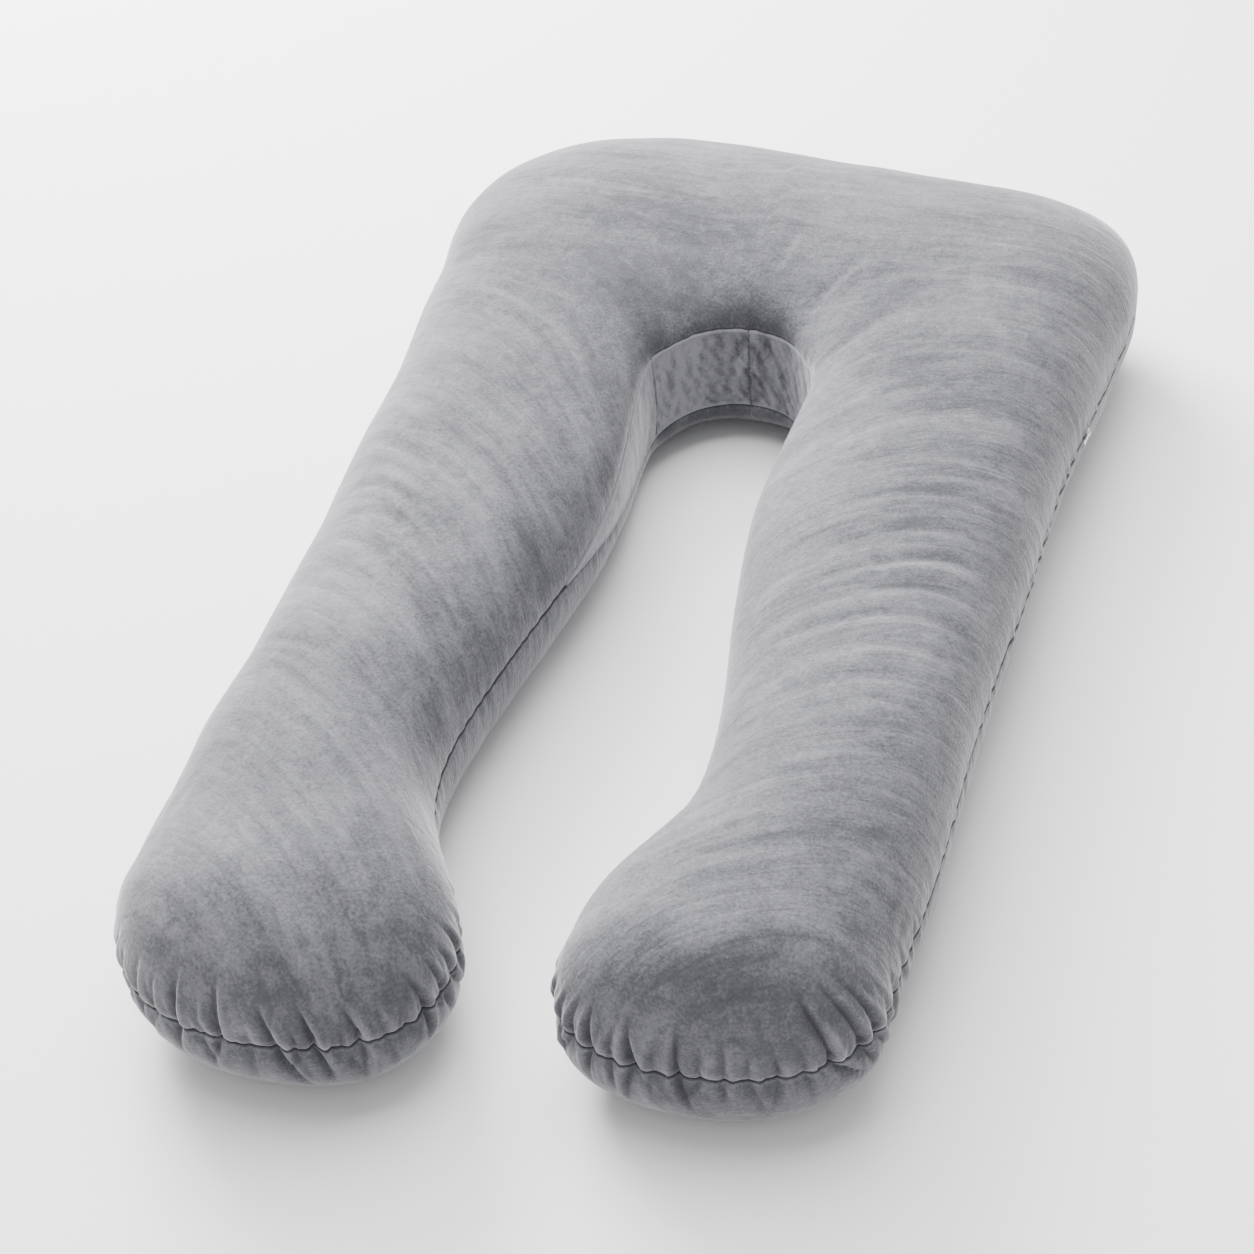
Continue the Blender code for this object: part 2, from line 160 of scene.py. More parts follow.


# velvet whose pile is brushed in bands across the pillow, with painted shade in its folds and seams and
# painted highlights on its ridges;
# the piece's "brush" follows the way the bands curve, and painted light and sheen make it lighter where it
# faces back and left
def makeVelvet(name, stretch, crush, lift):
    look = velvetLook
    finish = Finish(name)
    place = finish.node("ShaderNodeTexCoord", out="Object")
    brush = finish.node("ShaderNodeAttribute", {"attribute_name": "brush"}, out="Vector")
    napAndPaintedLight = finish.node("ShaderNodeAttribute", {"attribute_name": "napAndPaintedLight"}, out="Fac")
    fold = finish.node("ShaderNodeAttribute", {"attribute_name": "fold"}, out="Fac")
    ridge = finish.node("ShaderNodeAttribute", {"attribute_name": "ridge"}, out="Fac")
    even = (1.0, 1.0, 1.0)
    bands = finish.noise(brush, (1.0, 1.5, 1.2), look["napScale"], 3.0, 0.6)
    streaks = finish.noise(brush, stretch, look["streakScale"], 5.0, 0.9)
    wrinkles = finish.noise(brush, (0.9, 7.0, 1.5), look["wrinkleScale"], 3.0, 0.7)
    crushed = finish.noise(place, (1.0, 1.0, 0.7), look["crushScale"], 4.0, 1.6)
    crinkles = finish.noise(place, even, look["crinkleScale"], 3.0, 2.2)
    tufts = finish.noise(place, even, look["tuftScale"], 3.0, 0.4)
    brushed = (bands - 0.5) * 0.75 + (streaks - 0.5) * 0.6 + (wrinkles - 0.5) * 0.35
    grain = (crushed - 0.5) * crush + (crinkles - 0.5) * 0.34 + (tufts - 0.5) * 0.7
    # pile bands and grain are the velvet's own tone; the facing term is painted light and sheen, the fold
    # term painted shade and the ridge term painted highlights
    shade = 0.46 + lift + napAndPaintedLight * 0.46 + brushed + grain - fold * 0.5 + ridge * 0.34
    shade = finish.ramp(shade * 0.8 + 0.12, ((0.0, 0.0), (0.3, 0.16), (0.6, 0.5), (1.0, 1.0)))
    finish.feed("Base Color", finish.mixColours(shade, look["deep"], look["raised"]))
    finish.feed("Roughness", look["roughness"])
    finish.feed("Specular IOR Level", 0.18)
    finish.feed("Sheen Weight", look["sheen"])
    finish.feed("Sheen Roughness", look["sheenRoughness"])
    finish.feed("Sheen Tint", look["sheenTint"])
    height = tufts * look["tuftDepth"] + crinkles * look["crinkleDepth"] + wrinkles * look["wrinkleDepth"]
    height = height + crushed * (look["crushDepth"] * crush)
    bump = finish.node("ShaderNodeBump", values={"Height": height, "Distance": 1.0, "Strength": 0.8})
    finish.feed("Normal", bump)
    return finish.material


threadLook = {"colour": (0.075, 0.075, 0.085, 1), "roughness": 0.7}


def makeThread():
    finish = Finish("sewing thread")
    finish.feed("Base Color", threadLook["colour"])
    place = finish.node("ShaderNodeTexCoord", out="Object")
    twist = finish.noise(place, (1.0, 1.0, 1.0), 1800.0, 2.0)
    finish.feed("Roughness", threadLook["roughness"] + (twist - 0.5) * 0.3)
    return finish.material


zipLook = {"colour": (0.80, 0.80, 0.82, 1), "roughness": 0.22, "scuffScale": 420.0}


def makeZipMetal():
    finish = Finish("zip metal")
    place = finish.node("ShaderNodeTexCoord", out="Object")
    scuffs = finish.noise(place, (1.0, 6.0, 1.0), zipLook["scuffScale"], 4.0)
    finish.feed("Base Color", zipLook["colour"])
    finish.feed("Metallic", 1.0)
    finish.feed("Roughness", zipLook["roughness"] + (scuffs - 0.4) * 0.35)
    return finish.material


bodyVelvet = makeVelvet("grey velvet", (0.55, 3.2, 2.0), 0.5, 0.0)
gussetVelvet = makeVelvet("crushed grey velvet", (2.2, 2.2, 0.8), 1.3, 0.05)
sewingThread = makeThread()
zipMetal = makeZipMetal()
print("finishes made")


# The pillow's form

pillow = {
    # outer x, outer y, inner x, inner y, crown height, seam height, gusset half height,
    # in mm, from the right bulb round the base to the left bulb
    "sections": (
        (351, -579, 53, -579, 224, 98, 0),
        (363, -418, 113, -418, 218, 105, 0),
        (368, -257, 117, -257, 214, 112, 0),
        (377, -96, 91, -96, 214, 112, 0),
        (386, 65, 82, 65, 217, 112, 25),
        (396, 226, 98, 226, 219, 112, 55),
        (423, 445, 83, 283, 225, 112, 55),
        (402, 636, 58, 315, 231, 112, 55),
        (223, 693, 30, 331, 237, 112, 55),
        (0, 710, 0, 336, 244, 112, 55),
        (-244, 732, -29, 331, 237, 112, 55),
        (-404, 637, -57, 315, 231, 112, 55),
        (-421, 444, -82, 283, 225, 112, 55),
        (-398, 226, -96, 226, 219, 112, 55),
        (-390, 59, -82, 59, 217, 112, 25),
        (-379, -108, -99, -108, 214, 112, 0),
        (-374, -275, -126, -275, 214, 112, 0),
        (-374, -442, -118, -442, 218, 105, 0),
        (-371, -609, -41, -609, 224, 98, 0),
    ),
    "tips": {"right": (101, -30), "left": (124, 3)},  # reach and sideways shift, mm
    "bulbFullness": 2.17,
    "topFullness": 2.25,
    "underFullness": 2.2,
    "flatShare": 0.40,
    "gatheredSide": 126 * mm,
    "gatheredSections": 56,  # beside each bulb
    "plainSections": 437,
    "bulbSpokes": 221,
    "topRows": 35,
    "wallRows": 5,
    "underRows": 23,
    "typicalReach": 155 * mm,
    "typicalRise": 113 * mm,
    "topBias": 1.45,  # rows lie closer together towards the seam
    "underBias": 1.35,
    "seamHalf": 0.6 * mm,
    "seamDepth": 3.0 * mm,
    "pocketDepth": 1.9 * mm,
    "wallBulge": 4.0 * mm,
    "pocketFullAt": 20 * mm,
    "pull": 5.0 * mm,  # how far the seam draws the panels in round the bulbs
    "pullOnLegs": 3.2 * mm,
    "pullReach": 11 * mm,
    "pullAtGusset": 1.6 * mm,
}


def clampedSpline(knots, values, firstSlope, lastSlope):
    count = len(knots)
    gaps = np.diff(knots)
    slopes = np.diff(values, axis=0) / gaps[:, None]
    matrix = np.zeros((count, count))
    right = np.zeros_like(values)
    matrix[0, :2] = 2 * gaps[0], gaps[0]
    matrix[-1, -2:] = gaps[-1], 2 * gaps[-1]
    right[0] = 6 * (slopes[0] - firstSlope)
    right[-1] = 6 * (lastSlope - slopes[-1])
    for k in range(1, count - 1):
        matrix[k, k - 1 : k + 2] = gaps[k - 1], 2 * (gaps[k - 1] + gaps[k]), gaps[k]
        right[k] = 6 * (slopes[k] - slopes[k - 1])
    bends = np.linalg.solve(matrix, right)

    def at(where):
        k = np.clip(np.searchsorted(knots, where, side="right") - 1, 0, count - 2)
        gap = gaps[k][:, None]
        before = (knots[k + 1] - where)[:, None] / gap
        after = (where - knots[k])[:, None] / gap
        bend = (before**3 - before) * bends[k] + (after**3 - after) * bends[k + 1]
        return before * values[k] + after * values[k + 1] + bend * gap**2 / 6

    return at


def makeSections():
    rows = np.array(pillow["sections"], float) * mm
    steps = np.linalg.norm(np.diff(rows[:, 0:2], axis=0), axis=1)
    steps = (steps + np.linalg.norm(np.diff(rows[:, 2:4], axis=0), axis=1)) / 2
    knots = np.concatenate([[0], np.cumsum(steps)])
    alongY = np.array([0, 1.0, 0, 1.0, 0, 0, 0])
    at = clampedSpline(knots, rows, alongY, -alongY)
    side = pillow["gatheredSide"]
    count = pillow["gatheredSections"]
    ends = np.linspace(0, side, count, endpoint=False)
    middle = np.linspace(side, knots[-1] - side, pillow["plainSections"])
    return at(np.concatenate([ends, middle, knots[-1] - ends[::-1]]))


def capEnds(section, side):
    root = (section[0:2] + section[2:4]) / 2
    half = section[0] - root[0]
    reach, shift = (value * mm for value in pillow["tips"][side])
    turn = math.pi * np.arange(1, pillow["bulbSpokes"] + 1) / (pillow["bulbSpokes"] + 1)
    power = 2 / pillow["bulbFullness"]
    across = np.sign(np.cos(turn)) * np.abs(np.cos(turn)) ** power
    x = root[0] + half * across + shift * np.sin(turn)
    return np.stack([x, root[1] - reach * np.sin(turn) ** power], axis=1)


# Spokes run from the pillow's centre line out to its seam, in order round the whole seam:
# outer side, left bulb, inner side, right bulb.
class Spokes:
    def __init__(self):
        rows = makeSections()
        last = len(rows) - 1
        cap = pillow["bulbSpokes"]
        self.sections = rows
        self.section = np.concatenate(
            [np.arange(last + 1), np.full(cap, last), np.arange(last, -1, -1), np.zeros(cap, int)]
        )
        self.end = np.concatenate(
            [rows[:, 0:2], capEnds(rows[last], "left"), rows[::-1, 2:4], capEnds(rows[0], "right")[::-1]]
        )
        own = rows[self.section]
        self.root = (own[:, 0:2] + own[:, 2:4]) / 2
        self.crown = own[:, 4]
        self.seam = own[:, 5]
        self.gusset = np.where(self.innerMask(last, cap), np.maximum(own[:, 6], 0), 0)
        self.length = np.linalg.norm(self.end - self.root, axis=1)
        self.way = (self.end - self.root) / self.length[:, None]
        self.measureFromTips()

    def innerMask(self, last, cap):
        count = np.arange(2 * (last + 1) + 2 * cap)
        return (count > last + cap) & (count <= 2 * last + 1 + cap)

    # signed distance along the seam from each leg's tip, positive towards the gap between the legs
    def measureFromTips(self):
        count = len(self.end)
        steps = np.linalg.norm(np.roll(self.end, -1, axis=0) - self.end, axis=1)
        along = np.concatenate([[0], np.cumsum(steps)])
        total = along[-1]
        along = along[:-1]
        self.along = along
        self.total = total
        self.fromTip = {}
        for side, sign in (("left", 1), ("right", -1)):
            own = self.end[:, 0] < 0 if side == "left" else self.end[:, 0] > 0
            tip = int(np.argmin(np.where(own, self.end[:, 1], 9.0)))
            away = (along - along[tip] + total / 2) % total - total / 2
            self.fromTip[side] = sign * away

    def nearTip(self):
        return np.minimum(np.abs(self.fromTip["left"]), np.abs(self.fromTip["right"]))

    def __len__(self):
        return len(self.end)


# shares outwards and upwards of a superellipse's quarter turn, evenly spread by a power
def quarterArc(rows, fullness, bias):
    power = 2 / fullness
    turn = np.linspace(0, math.pi / 2, 4001)
    out, up = np.sin(turn) ** power, np.cos(turn) ** power
    steps = np.hypot(np.diff(out) * pillow["typicalReach"], np.diff(up) * pillow["typicalRise"])
    run = np.concatenate([[0], np.cumsum(steps)])
    wanted = run[-1] * (1 - np.linspace(0, 1, rows) ** bias)  # from the seam to the top
    turn = np.interp(wanted, run, turn)
    out = np.clip(np.sin(turn), 0, 1) ** power
    up = np.clip(np.cos(turn), 0, 1) ** power
    return out, up


# The stretch of seam that hides the zip
zipSeam = {
    "from": -90 * mm,
    "to": 500 * mm,
    "ease": 40 * mm,
    "slack": 0.55,  # how much less the cloth is drawn in over it
    "lip": 2.2 * mm,
    "lipAt": 3.6 * mm,
    "lipHalf": 2.4 * mm,
}


# 1 along the zip, on the outer side of the right leg, and 0 elsewhere
def zipZone(spokes):
    outer = (spokes.gusset == 0) & (spokes.end[:, 0] > 0.3) & (np.abs(spokes.way[:, 0]) > 0.6)
    y = spokes.end[:, 1]
    start = np.clip((y - zipSeam["from"]) / zipSeam["ease"], 0, 1)
    stop = np.clip((zipSeam["to"] - y) / zipSeam["ease"], 0, 1)
    return (outer * start * stop)[:, None]


# how far the stitching draws the cloth in at the seam, less over the zip and along the gusset
def seamPull(spokes):
    pocket = np.minimum(1.0, spokes.gusset / pillow["pocketFullAt"])[:, None]
    away = np.clip((spokes.nearTip() - 200 * mm) / (140 * mm), 0, 1)[:, None]
    tight = pillow["pull"] * (1 - away) + pillow["pullOnLegs"] * away
    tight = tight * (1 - pocket) + pillow["pullAtGusset"] * pocket
    return tight * (1 - zipSeam["slack"] * zipZone(spokes))


# The smooth surface as a grid: one row of points for each spoke, from below the crown over the
# seam to the flat underside. Also gives each point's climb, its distance from the seam.
def makeSurface(spokes):
    half = np.maximum(spokes.gusset, pillow["seamHalf"])[:, None]
    upper = spokes.seam[:, None] + half
    lower = spokes.seam[:, None] - half
    rise = spokes.crown[:, None] - upper
    length = spokes.length[:, None]
    pocket = np.minimum(1.0, spokes.gusset / pillow["pocketFullAt"])[:, None]

    out, up = quarterArc(pillow["topRows"] + 1, pillow["topFullness"], pillow["topBias"])
    out, up = out[:-1][::-1], up[:-1][::-1]  # without the crown itself, and crown first
    topOut, topUp = length * out, upper + rise * up

    share = np.linspace(0.9, -0.9, pillow["wallRows"])
    seamDip = pillow["seamDepth"] * (1 - np.abs(share) ** 2.5 * 0.5)
    pocketDip = pillow["pocketDepth"] - pillow["wallBulge"] * (1 - share**2)
    wallOut = length - (1 - pocket) * seamDip - pocket * pocketDip
    wallUp = spokes.seam[:, None] + half * share

    out, up = quarterArc(pillow["underRows"], pillow["underFullness"], pillow["underBias"])
    flat = pillow["flatShare"] * length
    underOut, underUp = flat + (length - flat) * out, lower * (1 - up)

    reach = np.concatenate([topOut, wallOut, underOut], axis=1)
    height = np.concatenate([topUp, wallUp, underUp], axis=1)
    steps = np.hypot(np.diff(reach, axis=1), np.diff(height, axis=1))
    run = np.concatenate([np.zeros((len(spokes), 1)), np.cumsum(steps, axis=1)], axis=1)
    topEdge = pillow["topRows"] - 1
    underEdge = topEdge + pillow["wallRows"] + 1
    climb = np.zeros_like(run)
    climb[:, :topEdge] = run[:, topEdge : topEdge + 1] - run[:, :topEdge]
    climb[:, underEdge:] = run[:, underEdge:] - run[:, underEdge : underEdge + 1]

    drawn = seamPull(spokes) * np.exp(-climb / pillow["pullReach"])
    drawn = drawn + ripple(spokes, climb) * (1 - 0.6 * pocket)
    reach = reach - drawn
    plan = spokes.root[:, None, :] + spokes.way[:, None, :] * reach[:, :, None]
    return np.concatenate([plan, height[:, :, None]], axis=2), climb


ripples = {"waves": 14, "length": (13, 34), "depth": 0.22 * mm, "reach": 17 * mm}


# small even puckers that follow every seam, from a seeded sum of waves
def ripple(spokes, climb):
    dice = np.random.RandomState(7)
    wave = np.zeros(len(spokes))
    for _ in range(ripples["waves"]):
        length = dice.uniform(*ripples["length"]) * mm
        turns = round(spokes.total / length)
        wave += np.sin(2 * math.pi * turns * spokes.along / spokes.total + dice.uniform(0, 6.3))
    return ripples["depth"] * wave[:, None] * np.exp(-climb / ripples["reach"])


def gridNormals(grid):
    alongSeam = np.roll(grid, -1, axis=0) - np.roll(grid, 1, axis=0)
    down = np.gradient(grid, axis=1)
    normals = np.cross(down, alongSeam)
    lengths = np.linalg.norm(normals, axis=2, keepdims=True)
    return normals / np.maximum(lengths, 1e-12)


# Gathers and creases

gathers = {
    # where on the seam from the tip, depth, half width, run up the top, lean, in mm;
    # then which side of the fold its ridge rolls over: 1 towards the gap between the legs
    "left": (
        (-342, 2, 8, 40, 8, 1), (-306, 3, 8, 45, 10, 1), (-274, 4, 8, 45, 10, 1),
        (-246, 5, 8, 50, 10, 1), (-222, 6, 8, 50, 8, 1), (-196, 6, 8, 55, 8, 1),
        (-169, 7, 7, 60, 8, 1), (-148, 7, 7, 50, 6, 1), (-121, 8, 7, 62, 8, 1),
        (-96, 7, 6, 58, 6, 1), (-67, 12, 7, 74, 4, 1), (-42, 5, 7, 52, 4, 1),
        (-21, 11, 7, 84, 2, 1), (8, 4, 7, 38, 0, 1), (33, 11, 8, 62, -10, 1),
        (52, 4, 6, 46, -4, -1), (71, 12, 8, 66, -10, 1), (96, 5, 7, 44, 2, 1),
        (113, 12, 7, 62, -12, 1), (136, 4, 7, 44, -6, 1), (158, 4, 7, 40, -6, 1),
        (181, 11, 7, 62, -12, 1), (206, 8, 7, 60, -12, 1), (228, 8, 7, 60, -14, 1),
        (252, 8, 7, 66, -16, 1), (280, 5, 8, 50, -14, 1), (312, 3, 8, 45, -12, 1),
    ),
    "right": (
        (-318, 3, 8, 40, 10, -1), (-284, 4, 8, 45, 12, -1), (-254, 5, 8, 50, 12, -1),
        (-230, 6, 8, 66, 16, -1), (-208, 10, 8, 96, 26, -1), (-187, 12, 8, 104, 28, -1),
        (-154, 13, 8, 98, 22, -1), (-128, 5, 7, 52, 8, -1), (-103, 6, 7, 54, 6, -1),
        (-77, 5, 7, 44, 2, -1), (-54, 6, 7, 62, 0, -1), (-32, 6, 7, 54, -2, -1),
        (-10, 11, 7, 74, -2, 1), (12, 5, 7, 50, -4, 1), (32, 11, 7, 70, 4, 1),
        (54, 7, 7, 62, -8, 1), (76, 11, 7, 70, -2, 1), (99, 9, 7, 64, -10, 1),
        (117, 7, 7, 56, -10, 1), (140, 8, 7, 56, -8, 1), (162, 7, 7, 56, -8, 1),
        (184, 8, 7, 56, -10, 1), (208, 6, 8, 50, -10, 1), (236, 5, 8, 45, -10, 1),
        (268, 4, 8, 45, -10, 1), (304, 3, 8, 40, -8, 1),
    ),
    "underRun": 52 * mm,
    "underShare": 0.8,
    "small": {"spacing": 12, "depth": (0.8, 3.0), "halfWidth": (3.5, 5.5), "run": (16, 58)},
    "smallReach": 700,  # how far the small folds go round from the tip, mm
    "seamLift": 5.0 * mm,  # how far the deepest fold lifts the seam
    "atSeam": 0.5,  # share of a fold's depth at the seam, which the stitching holds
    "fullAt": 13 * mm,
    "width": 0.86,
    "narrowing": 0.45,  # towards the end of a fold
    "valleyPower": 1.25,
    "steep": (1.5, 0.95),  # on the side that rolls over, and on the other
    "ridgeAt": 1.3,  # in half widths from the middle of the fold
    "ridgeHalf": 0.75,
    "ridgeShare": 0.42,
    "liftPower": 2.6,  # so that the shallow folds leave the seam level
    "liftReach": 22 * mm,
}


# the folds above, and small ones between them
def allFolds(side, dice):
    folds = [(*fold[:5], fold[5], 0) for fold in gathers[side]]
    small = gathers["small"]
    at = -gathers["smallReach"]
    while at < gathers["smallReach"]:
        at += small["spacing"] * dice.uniform(0.6, 1.4)
        depth, halfWidth, run = (dice.uniform(*small[key]) for key in ("depth", "halfWidth", "run"))
        depth *= 1 - 0.6 * min(1, max(0, (abs(at) - 220) / 160))
        folds.append((at, depth, halfWidth, run, dice.uniform(-14, 14), dice.choice((-1, 1)), 1))
    return folds


# depth of the valleys over the grid, and height of the ridges beside them
def foldFields(spokes, climb):
    valley = np.zeros_like(climb)
    ridge = np.zeros_like(climb)
    under = np.zeros(climb.shape[1], bool)
    under[pillow["topRows"] + pillow["wallRows"] :] = True
    underShare = 1 - (1 - gathers["underShare"]) * np.clip(climb / (12 * mm), 0, 1)
    opened = np.clip(climb / gathers["fullAt"], 0, 1)
    seamShare = gathers["atSeam"] + (1 - gathers["atSeam"]) * opened * opened * (3 - 2 * opened)
    dice = np.random.RandomState(5)
    for side in ("left", "right"):
        along = spokes.fromTip[side][:, None]
        for number, fold in enumerate(allFolds(side, dice)):
            at, depth, halfWidth, run, lean, roll, isSmall = fold
            underRun = gathers["underRun"] * (0.75 + 0.12 * (number % 5)) * (1 - 0.4 * isSmall)
            underLean = (-1.3 * lean + 17 * ((number % 3) - 1)) * mm
            share = np.clip(climb / np.where(under, underRun, run * mm), 0, 1)
            middle = at * mm + np.where(under, underLean, lean * mm) * share
            width = gathers["width"] * halfWidth * mm * (1 - gathers["narrowing"] * share)
            off = (along - middle) / width
            fade = (1 - share**2) ** 1.4 * np.where(under, underShare, 1.0) * seamShare
            steep = np.where(off * roll > 0, *gathers["steep"])
            valley += depth * mm * fade * np.exp(-np.abs(off * steep) ** gathers["valleyPower"])
            beside = (off * roll - gathers["ridgeAt"]) / gathers["ridgeHalf"]
            ridge += gathers["ridgeShare"] * depth * mm * fade * np.exp(-(beside**2))
    return valley, ridge


creases = (
    # soft troughs across the legs: start, middle and end in plan (mm), depth and half width (mm)
    ((-352, 20), (-290, -20), (-215, -95), 1.5, 9),
    ((-345, -25), (-270, -60), (-190, -150), 1.9, 9),
    ((-340, -70), (-262, -95), (-178, -190), 2.2, 9),
    ((-330, -118), (-250, -140), (-172, -235), 1.8, 8),
    ((-338, -165), (-260, -182), (-180, -270), 1.5, 8),
    ((-330, -215), (-262, -228), (-190, -300), 1.2, 9),
    ((-350, 95), (-285, 70), (-205, 10), 1.1, 11),
    ((-345, 160), (-280, 140), (-200, 90), 0.9, 12),
    ((-340, -320), (-270, -335), (-205, -372), 0.9, 10),
    ((345, -30), (268, -40), (170, -95), 1.6, 9),
    ((348, -75), (275, -85), (180, -140), 1.9, 9),
    ((350, -118), (276, -130), (175, -182), 2.0, 8),
    ((346, -160), (270, -172), (172, -225), 1.8, 8),
    ((342, -205), (268, -215), (176, -262), 1.4, 9),
    ((340, -255), (270, -262), (186, -300), 1.2, 9),
    ((350, 30), (276, 22), (172, -20), 1.3, 10),
    ((352, 90), (280, 84), (180, 50), 1.0, 12),
    ((356, 170), (290, 165), (205, 130), 0.8, 13),
    ((-60, 470), (-20, 420), (-10, 372), 0.9, 10),
    ((40, 480), (30, 425), (18, 372), 0.8, 10),
    ((120, 420), (92, 372), (72, 330), 1.1, 9),
    ((-130, 420), (-100, 370), (-78, 325), 1.1, 9),
    ((-175, 330), (-135, 285), (-104, 250), 1.0, 9),
    ((180, 330), (140, 290), (106, 255), 1.0, 9),
    ((-372, 430), (-330, 420), (-280, 395), 0.8, 12),
    ((385, 420), (335, 415), (285, 395), 0.8, 12),
)


fineCreases = {"count": 120, "length": (45, 130), "depth": (0.25, 0.75), "halfWidth": (3.2, 4.8)}


# where the brushed bands lie: across a leg they fall away towards its end on the inner side
def bandDrop(x, y):
    across = np.clip((365 * mm - np.abs(x)) / (190 * mm), 0, 1.5)
    fall = np.where(x < 0, 115 * mm, 75 * mm) * (1 - 0.8 * np.clip((y - 150 * mm) / (250 * mm), 0, 1))
    return fall * (0.45 * across + 0.55 * across**2)


def allCreases():
    found = list(creases)
    dice = np.random.RandomState(31)
    while len(found) < len(creases) + fineCreases["count"]:
        side = dice.choice((-1, 1))
        band = dice.uniform(-400, 330)
        middle = dice.uniform(215, 345)
        sizes = [dice.uniform(*fineCreases[key]) for key in ("length", "depth", "halfWidth")]
        length, depth, halfWidth = sizes
        points = []
        for x in (middle + length / 2, middle, middle - length / 2):
            y = band - float(bandDrop(side * x * mm, band * mm)) / mm
            points.append((side * x, y))
        found.append((*points, depth, halfWidth))
    return found


# depth of the creases over the top panel, and the thin bright ridges on their near sides
def creaseFields(grid):
    plan = grid[:, : pillow["topRows"], 0:2]
    trough = np.zeros(plan.shape[:2])
    crest = np.zeros(plan.shape[:2])
    for start, middle, end, depth, halfWidth in allCreases():
        points = np.array([start, middle, end], float) * mm
        points[1] = 2 * points[1] - (points[0] + points[2]) / 2
        t = np.linspace(0, 1, 41)[:, None]
        path = (1 - t) ** 2 * points[0] + 2 * t * (1 - t) * points[1] + t**2 * points[2]
        reach = 4 * halfWidth * mm
        near = np.all((plan > path.min(0) - reach) & (plan < path.max(0) + reach), axis=2)
        spots = plan[near]
        apart = spots[:, None, :] - path[None]
        distance = np.linalg.norm(apart, axis=2)
        nearest = distance.argmin(axis=1)
        picks = np.arange(len(spots))
        signed = distance[picks, nearest] * np.sign(apart[picks, nearest, 1])
        fade = np.sin(math.pi * np.clip(t[nearest, 0], 0, 1)) ** 0.7
        off = signed / (halfWidth * mm)
        trough[near] += depth * mm * fade * np.exp(-(off**2))
        crest[near] += 0.8 * depth * mm * fade * np.exp(-(((off + 0.95) / 0.5) ** 2))
    return trough, crest


filling = {"waves": 26, "length": (70, 210), "typical": 200 * mm, "depth": 0.30 * mm}


# soft unevenness of the filling, from a seeded sum of waves over the plan
def fillingField(grid):
    dice = np.random.RandomState(11)
    field = np.zeros(grid.shape[:2])
    for _ in range(filling["waves"]):
        length = dice.uniform(*filling["length"]) * mm
        turn = dice.uniform(0, math.pi)
        phase = dice.uniform(0, 6.3)
        along = grid[:, :, 0] * math.cos(turn) + grid[:, :, 1] * math.sin(turn) + 0.6 * grid[:, :, 2]
        field += np.sin(2 * math.pi * along / length + phase) * (length / filling["typical"])
    return filling["depth"] * field


def closeGrid(name, grid, crown, spokes, material):
    count, rows = grid.shape[:2]
    sections = len(spokes.sections)
    roots = (spokes.sections[:, 0:2] + spokes.sections[:, 2:4]) / 2
    top = np.concatenate([roots, crown[:, None]], axis=1)
    under = np.concatenate([roots, np.zeros((sections, 1))], axis=1)
    points = np.concatenate([top, under, grid.reshape(-1, 3)])
    first = 2 * sections
    k = np.arange(count)
    here, there = first + k * rows, first + (k + 1) % count * rows
    step = np.arange(rows - 1)
    a = here[:, None] + step
    b = there[:, None] + step
    faces = np.stack([a, a + 1, b + 1, b], axis=2).reshape(-1, 4).tolist()
    following = (k + 1) % count
    for j in range(count):
        mine, other = int(spokes.section[j]), int(spokes.section[following[j]])
        low, high = int(here[j] + rows - 1), int(there[j] + rows - 1)
        if mine == other:
            faces.append([mine, int(here[j]), int(there[j])])
            faces.append([sections + mine, high, low])
        else:
            faces.append([mine, int(here[j]), int(there[j]), other])
            faces.append([sections + other, high, low, sections + mine])
    mesh = bpy.data.meshes.new(name)
    mesh.from_pydata(points.tolist(), [], faces)
    mesh.update()
    mesh.shade_smooth()
    mesh.materials.append(material)
    piece = bpy.data.objects.new(name, mesh)
    collection.objects.link(piece)
    return piece


def addAttribute(mesh, name, values):
    attribute = mesh.attributes.new(name, "FLOAT", "POINT")
    attribute.data.foreach_set("value", np.asarray(values, np.float32))


# positions that follow the curve of the brushed bands, for the velvet's streaks
def addBrush(mesh):
    points = np.zeros(3 * len(mesh.vertices))
    mesh.vertices.foreach_get("co", points)
    points = points.reshape(-1, 3)
    points[:, 1] += bandDrop(points[:, 0], points[:, 1])
    attribute = mesh.attributes.new("brush", "FLOAT_VECTOR", "POINT")
    attribute.data.foreach_set("vector", points.astype(np.float32).ravel())


napAndPaintedLight = {
    "lean": np.array([-0.52, 0.82, 0.12]),  # the way the painted light and sheen come from, back left near the key light
    "against": 0.42,  # share of the painted shade kept where the cover faces away from it
    # darker patches, partly pile brushed the other way and partly painted shade: middle and half sizes in
    # plan (mm), change
    "patches": (
        (-120, 410, 160, 95, -0.62), (-20, 330, 130, 75, -0.25), (-150, 170, 60, 170, -0.32),
        (-205, -560, 120, 60, -0.22), (245, -515, 130, 75, -0.24), (170, 330, 90, 90, -0.18),
        (240, 130, 60, 120, -0.12), (-240, 60, 60, 120, -0.12),
    ),
}


# how far each part of the cover faces the way the painted light comes from, from -1 to 1, with the darker
# patches added
def napAndPaintedLightField(grid):
    facing = gridNormals(grid) @ napAndPaintedLight["lean"]
    facing = np.where(facing < 0, napAndPaintedLight["against"] * facing, facing)
    for x, y, halfX, halfY, change in napAndPaintedLight["patches"]:
        offX = (grid[:, :, 0] - x * mm) / (halfX * mm)
        offY = (grid[:, :, 1] - y * mm) / (halfY * mm)
        off = offX**2 + offY**2
        facing += change * np.exp(-off) * (grid[:, :, 2] > 100 * mm)
    return facing


spokes = Spokes()
surface, climb = makeSurface(spokes)
valley, ridge = foldFields(spokes, climb)
print("form drawn:", surface.shape[0], "spokes of", surface.shape[1], "points")

